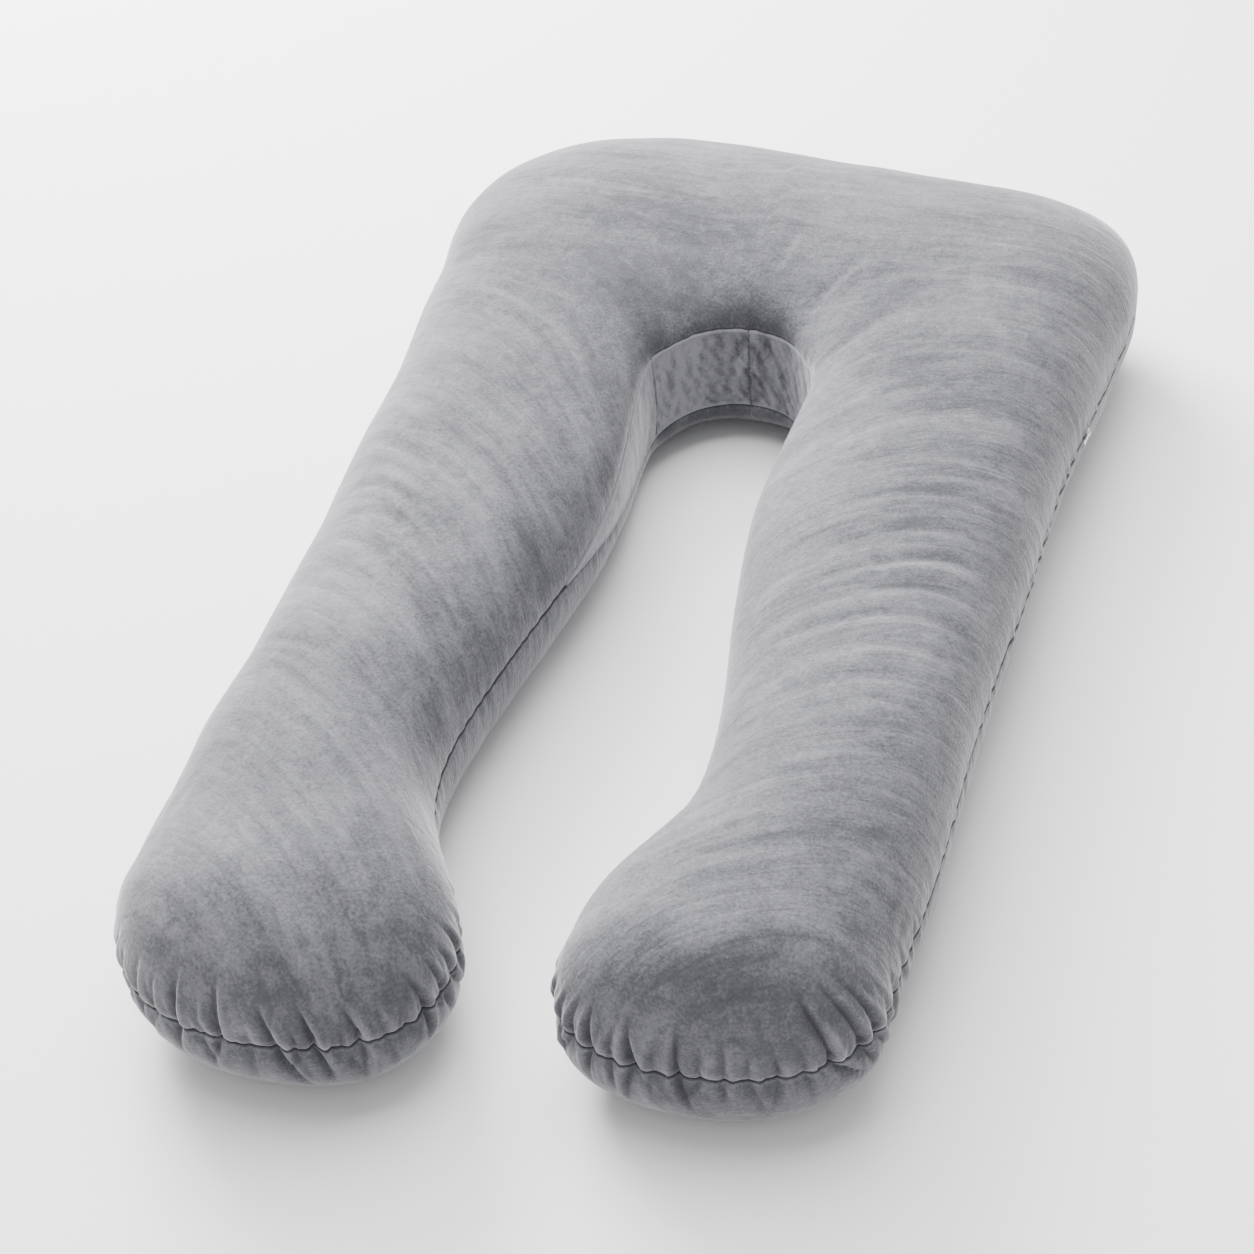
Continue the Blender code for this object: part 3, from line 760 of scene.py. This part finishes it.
# The frame's origin is the middle of the CAD box, a little off the origin of the sections above
planShift = np.array([1.04041, 2.03664]) * mm
for rows in (spokes.sections[:, 0:2], spokes.sections[:, 2:4], spokes.root, spokes.end):
    rows -= planShift
surface[:, :, 0:2] -= planShift
trough, crest = creaseFields(surface)


# outward directions, level beside the seam so that its two lips stay together
def pushWays(grid):
    level = np.zeros_like(grid)
    level[:, :, 0:2] = spokes.way[:, None, :]
    share = np.clip(climb / (14 * mm), 0, 1)
    share = (share * share * (3 - 2 * share))[:, :, None]
    ways = level * (1 - share) + gridNormals(grid) * share
    return ways / np.linalg.norm(ways, axis=2, keepdims=True)


# the puckered lips that close over the zip
def zipLips():
    y = spokes.end[:, 1]
    wave = 0.75 + 0.45 * np.sin(y / (9.5 * mm)) * np.sin(y / (27 * mm) + 1)
    wave += 0.25 * np.sin(y / (4.6 * mm))
    lip = np.exp(-(((climb - zipSeam["lipAt"]) / zipSeam["lipHalf"]) ** 2))
    return zipSeam["lip"] * zipZone(spokes) * wave[:, None] * lip


def shapeCover(foldShare):
    fade = np.clip(surface[:, :, 2] / (25 * mm), 0, 1)
    push = foldShare * (ridge - valley) * fade
    push += fillingField(surface) * fade * np.clip(climb / (40 * mm), 0, 1)
    push[:, : pillow["topRows"]] += 0.5 * crest - trough
    grid = surface + pushWays(surface) * push[:, :, None]
    atSeam = valley[:, pillow["topRows"] + 2]
    lift = foldShare * gathers["seamLift"] * (atSeam / atSeam.max())[:, None] ** gathers["liftPower"]
    grid[:, :, 2] += lift * np.exp(-climb / gathers["liftReach"])
    grid[:, :, 2] = np.maximum(grid[:, :, 2], 0)
    return grid


# Settling the cover as cloth

settle = {
    "frames": 20,
    "pressure": 4.0,
    "mass": 0.02,
    "tension": 12.0,
    "bending": 0.05,
    "startFolds": 0.75,
    "restFolds": 1.35,  # the cloth is cut longer round the bulbs than the seam it is sewn to
    "holdFar": 0.45,
    "cap": 7 * mm,
}


# every other spoke and section, for the simulated cloth
class Coarse:
    def __init__(self):
        self.sections = spokes.sections[::2]
        self.section = spokes.section[::2] // 2


# twice as many samples along an axis, through cubic midpoints
def smoothDouble(field, axis, closed):
    def moved(step):
        if closed:
            return np.roll(field, -step, axis=axis)
        picks = np.clip(np.arange(field.shape[axis]) + step, 0, field.shape[axis] - 1)
        return np.take(field, picks, axis=axis)

    middles = (9 * (field + moved(1)) - moved(-1) - moved(2)) / 16
    both = np.stack([field, middles], axis=axis + 1)
    shape = list(field.shape)
    shape[axis] *= 2
    both = both.reshape(shape)
    return both if closed else np.take(both, range(shape[axis] - 1), axis=axis)


def settleCover():
    start = shapeCover(settle["startFolds"])[::2, ::2]
    rest = shapeCover(settle["restFolds"])[::2, ::2]
    coarse = Coarse()
    crown = spokes.sections[::2, 4]
    cloth = closeGrid("settling", start, crown, coarse, bodyVelvet)
    roots = 2 * len(coarse.sections)
    far = np.clip((spokes.nearTip()[::2, None] - 260 * mm) / (140 * mm), 0, 1)
    high = np.clip((climb[::2, ::2] - 70 * mm) / (60 * mm), 0, 1)
    hold = settle["holdFar"] * np.maximum(far, high)
    hold = np.where(climb[::2, ::2] < 0.5 * mm, 1.0, hold)
    hold = np.where(start[:, :, 2] < 6 * mm, 1.0, hold)
    weights = np.concatenate([np.ones(roots), hold.ravel()])
    group = cloth.vertex_groups.new(name="held")
    for level in np.unique(weights.round(2)):
        members = np.flatnonzero(weights.round(2) == level)
        group.add(members.tolist(), float(level), "REPLACE")
    cloth.shape_key_add(name="start")
    cut = cloth.shape_key_add(name="cut")
    points = np.array([vertex.co[:] for vertex in cloth.data.vertices])
    points[roots:] = rest.reshape(-1, 3)
    cut.data.foreach_set("co", points.astype(np.float32).ravel())
    modifier = cloth.modifiers.new("cloth", "CLOTH")
    setting = modifier.settings
    setting.quality = 5
    setting.mass = settle["mass"]
    setting.tension_stiffness = settle["tension"]
    setting.compression_stiffness = settle["tension"]
    setting.shear_stiffness = settle["tension"] / 3
    setting.bending_stiffness = settle["bending"]
    setting.use_pressure = True
    setting.uniform_pressure_force = settle["pressure"]
    setting.vertex_group_mass = "held"
    setting.pin_stiffness = 1.0
    setting.rest_shape_key = cut
    setting.effector_weights.gravity = 0
    modifier.point_cache.frame_start = 1
    modifier.point_cache.frame_end = settle["frames"]
    scene = bpy.context.scene
    for number in range(1, settle["frames"] + 1):
        scene.frame_set(number)
    settled = cloth.evaluated_get(bpy.context.evaluated_depsgraph_get()).to_mesh()
    moved = np.array([vertex.co[:] for vertex in settled.vertices])[roots:].reshape(start.shape) - start
    scene.frame_set(1)
    bpy.data.objects.remove(cloth)
    far = np.linalg.norm(moved, axis=2)
    print("cloth settled, moved up to", round(float(far.max() / mm), 1), "mm")
    moved *= np.minimum(1, settle["cap"] / np.maximum(far, 1e-9))[:, :, None]
    fine = smoothDouble(moved, 0, True)
    return smoothDouble(fine, 1, False)


# painted shade in the folds, crease troughs and seam groove, and painted highlights on the fold ridges,
# crease crests and seam lips
shading = {
    "foldDepth": 9 * mm,
    "fold": 1.15,
    "ridgeHeight": 4 * mm,
    "lip": 0.5,
    "lipAt": 2.6 * mm,
    "lipHalf": 2 * mm,
    "seam": 1.8,
    "seamReach": 1.1 * mm,
    "trough": (3.2 * mm, 0.5),
    "crest": (1.6 * mm, 0.65),
    "underFade": 25 * mm,
}


def makeBody():
    grid = shapeCover(settle["startFolds"]) + settleCover()
    grid += pushWays(surface) * zipLips()[:, :, None]
    grid[:, :, 2] = np.maximum(grid[:, :, 2], 0)
    body = closeGrid("pillow_cover", grid, spokes.sections[:, 4], spokes, bodyVelvet)
    mesh = body.data
    blank = np.zeros(2 * len(spokes.sections))
    top = pillow["topRows"]
    fade = np.clip(surface[:, :, 2] / shading["underFade"], 0, 1)
    # painted shade in the seam groove, strongest on its wall
    seamShade = np.exp(-climb / shading["seamReach"])
    seamShade[:, top : top + pillow["wallRows"]] = shading["seam"]
    # painted shade in the fold valleys, fading out towards the floor
    fold = np.clip(valley / shading["foldDepth"], 0, 1) * fade * shading["fold"] + seamShade
    # painted highlights on the fold ridges and on the lips beside the seam
    lip = np.exp(-(((climb - shading["lipAt"]) / shading["lipHalf"]) ** 2))
    rise = np.clip(ridge / shading["ridgeHeight"], 0, 1) * fade + lip * shading["lip"]
    # painted shade in the crease troughs and painted highlights on their crests
    for field, marks, (full, share) in ((fold, trough, shading["trough"]), (rise, crest, shading["crest"])):
        field[:, :top] += np.clip(marks / full, 0, 1) * share
    sections = len(spokes.sections)
    # painted light and sheen from each point's facing, with darker patches that are partly pile and partly
    # painted shade
    facing = napAndPaintedLightField(grid)
    crown = facing[:, 0][np.searchsorted(spokes.section[: len(spokes) // 2], np.arange(sections))]
    facing = np.concatenate([crown, np.zeros(sections), facing.ravel()])
    addAttribute(mesh, "fold", np.concatenate([blank, fold.ravel()]))
    addAttribute(mesh, "ridge", np.concatenate([blank, rise.ravel()]))
    addAttribute(mesh, "napAndPaintedLight", facing)
    addBrush(mesh)
    return body, grid


body, bodyGrid = makeBody()
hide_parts("pillow_body")
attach(body, "root")
print("cover made:", len(body.data.polygons), "faces")


# Gusset

gusset = {
    "cloth": 1.3 * mm,
    "gap": 0.4 * mm,
    "tip": 1.6 * mm,  # half height at which a leg panel comes to its point
    "joinY": 255 * mm,
    "joinGap": 0.9 * mm,
    "rows": 27,
    "welt": 1.7 * mm,
    "weltHalf": 2.4 * mm,
    "pucker": 1.3 * mm,
    "puckers": 22,
    "length": (12, 42),  # of a pucker, mm
    "slant": 0.9,
    "tuck": 1.8 * mm,  # how far the edges are drawn under the seams
    "tuckReach": 1.2 * mm,
    # painted shade and painted highlights on the strip: pucker depth for full shade, shade and spread at
    # joins and edges, welt highlight with its place and spread, painted sheen where it turns along the legs
    "shadedPucker": 0.8 * mm,
    "joinShade": (0.9, 1.6 * mm),
    "edgeShade": (0.9, 1.0 * mm),
    "paintedWeltHighlight": (1.5, 2.4 * mm, 1.7 * mm),
    "paintedSidewaysSheen": 1.1,
}


# how far the cloth stands out from the body's wall, at shares 1 (top) to -1 (bottom)
def gussetProfile(part, share):
    half = spokes.gusset[part][:, None]
    edge = half * (1 - np.abs(share))
    welt = gusset["welt"] * np.exp(-(((edge - gusset["weltHalf"]) / gusset["weltHalf"]) ** 2))
    return welt - gusset["tuck"] * np.exp(-edge / gusset["tuckReach"])


def makePanel(name, node, part, dice):
    share = np.sin(np.linspace(math.pi / 2, -math.pi / 2, gusset["rows"])) * 0.995
    half = spokes.gusset[part][:, None]
    pocket = np.minimum(1.0, half / pillow["pocketFullAt"])
    wall = pillow["pocketDepth"] - pillow["wallBulge"] * (1 - share**2)
    wall = pocket * wall + (1 - pocket) * 1.2 * mm
    puckers = np.zeros((len(part), len(share)))
    along = spokes.along[part][:, None]
    high = half * share
    for _ in range(gusset["puckers"]):
        length = dice.uniform(*gusset["length"]) * mm
        slant = dice.uniform(-gusset["slant"], gusset["slant"])
        wave = np.sin(2 * math.pi * (along + slant * high) / length + dice.uniform(0, 6.3))
        puckers += wave * dice.uniform(0.3, 1.0)
    puckers *= gusset["pucker"] / 3.4 * (1 - np.abs(share) ** 6) * pocket
    front = gussetProfile(part, share) + np.abs(puckers) ** 1.15 * np.sign(puckers)
    base = spokes.length[part][:, None] - wall - seamPull(spokes)[part] + gusset["gap"]
    reach = base + gusset["cloth"] + np.maximum(front, -0.8 * mm)
    height = spokes.seam[part][:, None] + half * share

    def points(distance):
        plan = spokes.root[part][:, None, :] + spokes.way[part][:, None, :] * distance[:, :, None]
        return np.concatenate([plan, height[:, :, None]], axis=2)

    outer = points(reach)
    inner = points(np.minimum(base, reach - 0.5 * mm))
    for grid in (outer, inner):
        for end, inside in ((0, 1), (-1, -2)):
            way = grid[inside] - grid[end]
            shorten = np.minimum(0.45, gusset["joinGap"] / 2 / np.linalg.norm(way, axis=1))
            grid[end] += way * shorten[:, None]
    count, rows = outer.shape[:2]
    loop = np.concatenate([outer, inner[:, ::-1]], axis=1)
    around = 2 * rows
    faces = [list(range(around))[::-1], [(count - 1) * around + k for k in range(around)]]
    for k in range(count - 1):
        for j in range(around):
            a, b = k * around + j, k * around + (j + 1) % around
            faces.append([a, b, b + around, a + around])
    mesh = bpy.data.meshes.new(name)
    mesh.from_pydata(loop.reshape(-1, 3).tolist(), [], faces)
    shape = bmesh.new()
    shape.from_mesh(mesh)
    bmesh.ops.recalc_face_normals(shape, faces=shape.faces)
    shape.to_mesh(mesh)
    shape.free()
    mesh.shade_smooth()
    mesh.set_sharp_from_angle(angle=math.radians(60))
    mesh.materials.append(gussetVelvet)
    edge = half * (1 - np.abs(share))
    joins = np.minimum(along - along[0], along[-1] - along)
    # painted shade in the puckers' hollows, along the edges drawn under the seams and beside the joins
    # between panels
    paintedShade = np.clip(-puckers / gusset["shadedPucker"], 0, 1) * 0.5
    for distance, (shade, spread) in ((edge, gusset["edgeShade"]), (joins, gusset["joinShade"])):
        paintedShade = paintedShade + shade * np.exp(-distance / spread)
    # painted sheen: lighter where the strip turns to face sideways along the legs
    sideways = np.clip((np.abs(spokes.way[part][:, 0:1]) - 0.55) / 0.4, 0, 1)
    # painted highlights on the puckers' crowns and along the welt
    weltHighlight, place, spread = gusset["paintedWeltHighlight"]
    lift = np.clip(puckers / gusset["shadedPucker"], 0, 1) * 0.5 + gusset["paintedSidewaysSheen"] * sideways
    lift = lift + weltHighlight * np.exp(-(((edge - place) / spread) ** 2))
    for label, field in (("fold", paintedShade), ("ridge", lift)):
        both = np.concatenate([field, field[:, ::-1]], axis=1)
        addAttribute(mesh, label, both.ravel())
    ways = np.repeat(spokes.way[part][:, None, :], around, axis=1).reshape(-1, 2)
    # lighter where the strip faces front and right, darker where it faces back and left
    addAttribute(mesh, "napAndPaintedLight", -0.6 * (ways @ napAndPaintedLight["lean"][0:2]))
    addBrush(mesh)
    piece = bpy.data.objects.new(name, mesh)
    collection.objects.link(piece)
    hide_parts(node)
    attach(piece, "root")
    return piece


def makeGusset():
    lined = np.flatnonzero(spokes.gusset > gusset["tip"])
    ends = spokes.end[lined]
    top = int(np.argmin(np.abs(ends[:, 0])))
    left = int(np.argmin(np.abs(ends[:top, 1] - gusset["joinY"])))
    right = top + int(np.argmin(np.abs(ends[top:, 1] - gusset["joinY"])))
    cuts = (0, left, top, right, len(lined) - 1)
    names = ("leg_left", "arch_left", "arch_right", "leg_right")
    dice = np.random.RandomState(23)
    for name, start, stop in zip(names, cuts[:-1], cuts[1:]):
        makePanel(f"gusset_cloth_{name}", f"gusset_{name}", lined[start : stop + 1], dice)


makeGusset()
print("gusset made")


# Stitches, one small spindle of thread after another along every seam

stitching = {
    "pitch": 3.4 * mm,
    "length": 2.5 * mm,
    "radius": 0.32 * mm,
    "sunk": 0.8 * mm,  # below the two lips of the seam
    "fromEdge": 0.6 * mm,
}


# the seam lines as runs of points, between the lips or along the gusset's two edges
def seamRuns():
    upper = bodyGrid[:, pillow["topRows"] - 1]
    lower = bodyGrid[:, pillow["topRows"] + pillow["wallRows"]]
    inward = np.concatenate([spokes.way, np.zeros((len(spokes), 1))], axis=1) * stitching["sunk"]
    edge = np.array([0, 0, stitching["fromEdge"]])
    lined = spokes.gusset > gusset["tip"]
    count = len(spokes)
    following = (np.arange(count) + 1) % count
    runs = []
    for mask, line in (
        (~lined, (upper + lower) / 2 - inward),
        (lined, upper - inward - edge),
        (lined, lower - inward + edge),
    ):
        pairs = [(k, int(following[k])) for k in range(count) if mask[k] and mask[following[k]]]
        runs.append((line, pairs))
    return runs


def stitchTree():
    tree = bpy.data.node_groups.new("stitches along a seam", "GeometryNodeTree")
    sockets = {
        "Geometry": "NodeSocketGeometry", "Pitch": "NodeSocketFloat", "Length": "NodeSocketFloat",
        "Radius": "NodeSocketFloat", "Thread": "NodeSocketMaterial",
    }
    for name, kind in sockets.items():
        tree.interface.new_socket(name, in_out="INPUT", socket_type=kind)
    tree.interface.new_socket("Geometry", in_out="OUTPUT", socket_type="NodeSocketGeometry")
    kinds = {
        "start": "NodeGroupInput", "curve": "GeometryNodeMeshToCurve", "even": "GeometryNodeResampleCurve",
        "tangent": "GeometryNodeInputTangent", "turn": "FunctionNodeAlignRotationToVector",
        "spindle": "GeometryNodeMeshUVSphere", "half": "ShaderNodeMath", "size": "ShaderNodeCombineXYZ",
        "put": "GeometryNodeInstanceOnPoints", "real": "GeometryNodeRealizeInstances",
        "smooth": "GeometryNodeSetShadeSmooth", "dress": "GeometryNodeSetMaterial",
        "finish": "NodeGroupOutput",
    }
    nodes = {name: tree.nodes.new(kind) for name, kind in kinds.items()}
    nodes["even"].mode = "LENGTH"
    nodes["turn"].axis = "Z"
    nodes["half"].operation = "MULTIPLY"
    nodes["half"].inputs[1].default_value = 0.5
    for socket, value in {"Segments": 6, "Rings": 4, "Radius": 1.0}.items():
        nodes["spindle"].inputs[socket].default_value = value
    for source, out, target, into in (
        ("start", "Geometry", "curve", "Mesh"), ("curve", "Curve", "even", "Curve"),
        ("start", "Pitch", "even", "Length"), ("tangent", "Tangent", "turn", "Vector"),
        ("start", "Radius", "size", "X"), ("start", "Radius", "size", "Y"),
        ("start", "Length", "half", 0), ("half", 0, "size", "Z"), ("even", "Curve", "put", "Points"),
        ("spindle", "Mesh", "put", "Instance"), ("turn", "Rotation", "put", "Rotation"),
        ("size", "Vector", "put", "Scale"), ("put", "Instances", "real", "Geometry"),
        ("real", "Geometry", "smooth", "Geometry"), ("smooth", "Geometry", "dress", "Geometry"),
        ("start", "Thread", "dress", "Material"), ("dress", "Geometry", "finish", "Geometry"),
    ):
        tree.links.new(nodes[source].outputs[out], nodes[target].inputs[into])
    return tree


def setInput(modifier, name, value):
    for item in modifier.node_group.interface.items_tree:
        if item.item_type == "SOCKET" and item.in_out == "INPUT" and item.name == name:
            modifier[item.identifier] = value


def makeStitches():
    points, edges = [], []
    for line, pairs in seamRuns():
        first = len(points)
        points.extend(line.tolist())
        edges.extend((first + a, first + b) for a, b in pairs)
    used = sorted({k for edge in edges for k in edge})
    renumbered = {k: number for number, k in enumerate(used)}
    mesh = bpy.data.meshes.new("seam line")
    mesh.from_pydata([points[k] for k in used], [(renumbered[a], renumbered[b]) for a, b in edges], [])
    line = bpy.data.objects.new("seam line", mesh)
    collection.objects.link(line)
    modifier = line.modifiers.new("stitches", "NODES")
    modifier.node_group = stitchTree()
    for name in ("pitch", "length", "radius"):
        setInput(modifier, name.capitalize(), stitching[name])
    setInput(modifier, "Thread", sewingThread)
    made = bpy.data.meshes.new_from_object(line.evaluated_get(bpy.context.evaluated_depsgraph_get()))
    bpy.data.objects.remove(line)
    piece = bpy.data.objects.new("seam_stitches", made)
    collection.objects.link(piece)
    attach(piece, "root")
    print("stitches made:", len(made.polygons), "faces")


makeStitches()


# Zip slider and pull, on the outer seam of the right leg

zipper = {
    "y": 286 * mm,
    "clearance": 0.35 * mm,
    "plate": (11.0, 8.0, 1.3),  # along the seam, up, outwards, mm
    "plateLift": 1.3,
    "rail": (8.5, 1.1, 1.5),
    "bridge": {"length": 8.0, "height": 3.0, "width": 2.0, "thick": 0.8},
    "pull": {"length": 24.0, "narrow": 2.2, "wide": 3.2, "thick": 1.1},
    "eye": (4.2, 0.0, 2.7, 1.35),  # centre and half sizes, mm
    "slot": (17.0, 0.0, 3.0, 1.2),
}


# along the seam towards the leg's end, up, and outwards
def zipFrame():
    outer = np.flatnonzero((spokes.gusset == 0) & (spokes.end[:, 0] > 0.25) & (spokes.way[:, 0] > 0.6))
    outer = outer[np.argsort(spokes.end[outer, 1])]
    y = spokes.end[outer, 1]
    x = np.interp(zipper["y"], y, spokes.end[outer, 0])
    z = np.interp(zipper["y"], y, spokes.seam[outer])
    ahead = np.interp(zipper["y"] + 10 * mm, y, spokes.end[outer, 0])
    along = Vector((x - ahead, -10 * mm, 0)).normalized()
    up = Vector((0, 0, 1))
    out = along.cross(up) if along.cross(up).x > 0 else up.cross(along)
    place = Matrix((along, up, out)).transposed().to_4x4()
    place.translation = Vector((x, zipper["y"], z)) + out * zipper["clearance"]
    return place @ Matrix.Scale(mm, 4)


def addBlock(shape, size, centre, narrowing=1.0):
    made = bmesh.ops.create_cube(shape, size=1.0)["verts"]
    for vertex in made:
        slim = narrowing if vertex.co.x > 0 else 1.0
        vertex.co = Vector((vertex.co.x * size[0], vertex.co.y * size[1] * slim, vertex.co.z * size[2]))
        vertex.co += Vector(centre)


def addBridge(shape):
    bridge = zipper["bridge"]
    base = zipper["plateLift"] + zipper["plate"][2] - 0.3
    steps = 12
    rings = []
    for k in range(steps + 1):
        turn = math.pi * k / steps
        ring = []
        for grow in (0, -bridge["thick"]):
            for side in (-1, 1) if grow == 0 else (1, -1):
                x = -math.cos(turn) * (bridge["length"] / 2 + grow)
                z = base + math.sin(turn) ** 0.7 * (bridge["height"] + grow)
                ring.append(shape.verts.new((x, side * bridge["width"] / 2, z)))
        rings.append(ring)
    for one, two in zip(rings[:-1], rings[1:]):
        for j in range(4):
            shape.faces.new((one[j], one[(j + 1) % 4], two[(j + 1) % 4], two[j]))
    shape.faces.new(rings[0])
    shape.faces.new(rings[-1][::-1])


def finishPiece(name, mesh, place, node):
    mesh.transform(place)
    if place.is_negative:
        mesh.flip_normals()
    mesh.shade_smooth()
    mesh.set_sharp_from_angle(angle=math.radians(35))
    mesh.materials.clear()
    mesh.materials.append(zipMetal)
    piece = bpy.data.objects.new(name, mesh)
    collection.objects.link(piece)
    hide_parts(node)
    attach(piece, "root")


def makeSlider(place):
    shape = bmesh.new()
    length, height, thick = zipper["plate"]
    middle = zipper["plateLift"] + thick / 2
    addBlock(shape, (length, height, thick), (0, 0, middle), 0.72)
    railLength, railHeight, railDepth = zipper["rail"]
    for side in (-1, 1):
        centre = (-1.0, side * (height - railHeight) / 2, railDepth / 2)
        addBlock(shape, (railLength, railHeight, railDepth), centre)
    bmesh.ops.bevel(shape, geom=list(shape.edges), offset=0.3, segments=2, affect="EDGES")
    addBridge(shape)
    bmesh.ops.recalc_face_normals(shape, faces=shape.faces)
    mesh = bpy.data.meshes.new("zip_slider_body")
    shape.to_mesh(mesh)
    shape.free()
    finishPiece("zip_slider_body", mesh, place, "zip_slider")


def makePull(place):
    sizes = zipper["pull"]
    flat = bpy.data.curves.new("zip pull", "CURVE")
    flat.dimensions = "2D"
    flat.fill_mode = "BOTH"
    flat.bevel_depth = 0.2
    flat.bevel_resolution = 2
    flat.extrude = sizes["thick"] / 2 - flat.bevel_depth
    half = sizes["length"] / 2

    def addOutline(points):
        spline = flat.splines.new("POLY")
        spline.points.add(len(points) - 1)
        for point, (x, y) in zip(spline.points, points):
            point.co = (x, y, 0, 1)
        spline.use_cyclic_u = True

    outline = []
    for k in range(56):
        turn = 2 * math.pi * k / 56
        x = half - (half - 0.2) * math.cos(turn)
        width = sizes["narrow"] + (sizes["wide"] - sizes["narrow"]) * x / sizes["length"]
        across = math.copysign(abs(math.sin(turn)) ** 0.5, math.sin(turn))
        outline.append((x, (width - 0.2) * across))
    addOutline(outline)
    for centreX, centreY, halfX, halfY in (zipper["eye"], zipper["slot"]):
        turns = [2 * math.pi * k / 24 for k in range(24)]
        addOutline([(centreX + halfX * math.cos(turn), centreY + halfY * math.sin(turn)) for turn in turns])
    holder = bpy.data.objects.new("zip pull", flat)
    collection.objects.link(holder)
    mesh = bpy.data.meshes.new_from_object(holder.evaluated_get(bpy.context.evaluated_depsgraph_get()))
    bpy.data.objects.remove(holder)
    shape = bmesh.new()
    shape.from_mesh(mesh)
    bmesh.ops.remove_doubles(shape, verts=shape.verts, dist=0.001)
    bmesh.ops.recalc_face_normals(shape, faces=shape.faces)
    shape.to_mesh(mesh)
    shape.free()
    start = -zipper["bridge"]["length"] / 2 + 1.9
    high = zipper["plateLift"] + zipper["plate"][2] + 0.3 + sizes["thick"] / 2
    mesh.name = "zip_pull_tab"
    finishPiece("zip_pull_tab", mesh, place @ Matrix.Translation((start, 0, high)), "zip_pull")


zipPlace = zipFrame()
makeSlider(zipPlace)
makePull(zipPlace)
print("zip made")


# Camera, fitted to the photo

shot = {
    "azimuth": 19.275,
    "elevation": 41.593,
    "roll": -4.942,
    "distance": 2.477,
    "target": (-0.0223, -0.1200, 0.0948),
    "lens": 67.39,
    "sensor": 36.0,
}


def makeCamera():
    azimuth, elevation, roll = (math.radians(shot[name]) for name in ("azimuth", "elevation", "roll"))
    back = Vector(
        (
            math.sin(azimuth) * math.cos(elevation),
            -math.cos(azimuth) * math.cos(elevation),
            math.sin(elevation),
        )
    )
    side = Vector((0, 0, 1)).cross(back).normalized()
    rise = back.cross(side)
    turned = side * math.cos(roll) + rise * math.sin(roll)
    raised = rise * math.cos(roll) - side * math.sin(roll)
    place = Matrix((turned, raised, back)).transposed().to_4x4()
    place.translation = Vector(shot["target"]) + back * shot["distance"]
    camera = bpy.data.objects.new("camera", bpy.data.cameras.new("camera"))
    camera.data.lens = shot["lens"]
    camera.data.sensor_width = shot["sensor"]
    camera.matrix_world = place
    collection.objects.link(camera)
    bpy.context.scene.camera = camera


# Studio: a white floor, a broad soft light overhead and softer ones round it

studio = {
    "floorColour": (0.93, 0.93, 0.93, 1),
    "world": (1.0, 1.0, 1.0, 1),
    "worldStrength": 0.85,
    # name: place, size, watts
    "lights": {
        "key": ((-2.4, 2.6, 2.4), 2.4, 600),
        "overhead": ((-0.4, 0.6, 3.4), 3.0, 240),
        "front": ((1.6, -3.4, 2.2), 2.4, 12),
    },
}


def makeStudio():
    mesh = bpy.data.meshes.new("floor")
    size = 30.0
    corners = [(-size, -size, 0), (size, -size, 0), (size, size, 0), (-size, size, 0)]
    mesh.from_pydata([(x, y, -0.4 * mm) for x, y, _ in corners], [], [(0, 1, 2, 3)])
    finish = Finish("floor")
    finish.feed("Base Color", studio["floorColour"])
    finish.feed("Roughness", 0.9)
    mesh.materials.append(finish.material)
    floor = bpy.data.objects.new("floor", mesh)
    collection.objects.link(floor)
    world = bpy.data.worlds.new("studio")
    world.use_nodes = True
    bpy.context.scene.world = world
    background = world.node_tree.nodes["Background"]
    background.inputs["Color"].default_value = studio["world"]
    background.inputs["Strength"].default_value = studio["worldStrength"]
    for name, (place, width, watts) in studio["lights"].items():
        lamp = bpy.data.lights.new(name, "AREA")
        lamp.shape = "SQUARE"
        lamp.size = width
        lamp.energy = watts
        light = bpy.data.objects.new(name, lamp)
        light.location = place
        light.rotation_euler = (-Vector(place)).to_track_quat("-Z", "Y").to_euler()
        collection.objects.link(light)


makeCamera()
makeStudio()
print("camera and studio made")
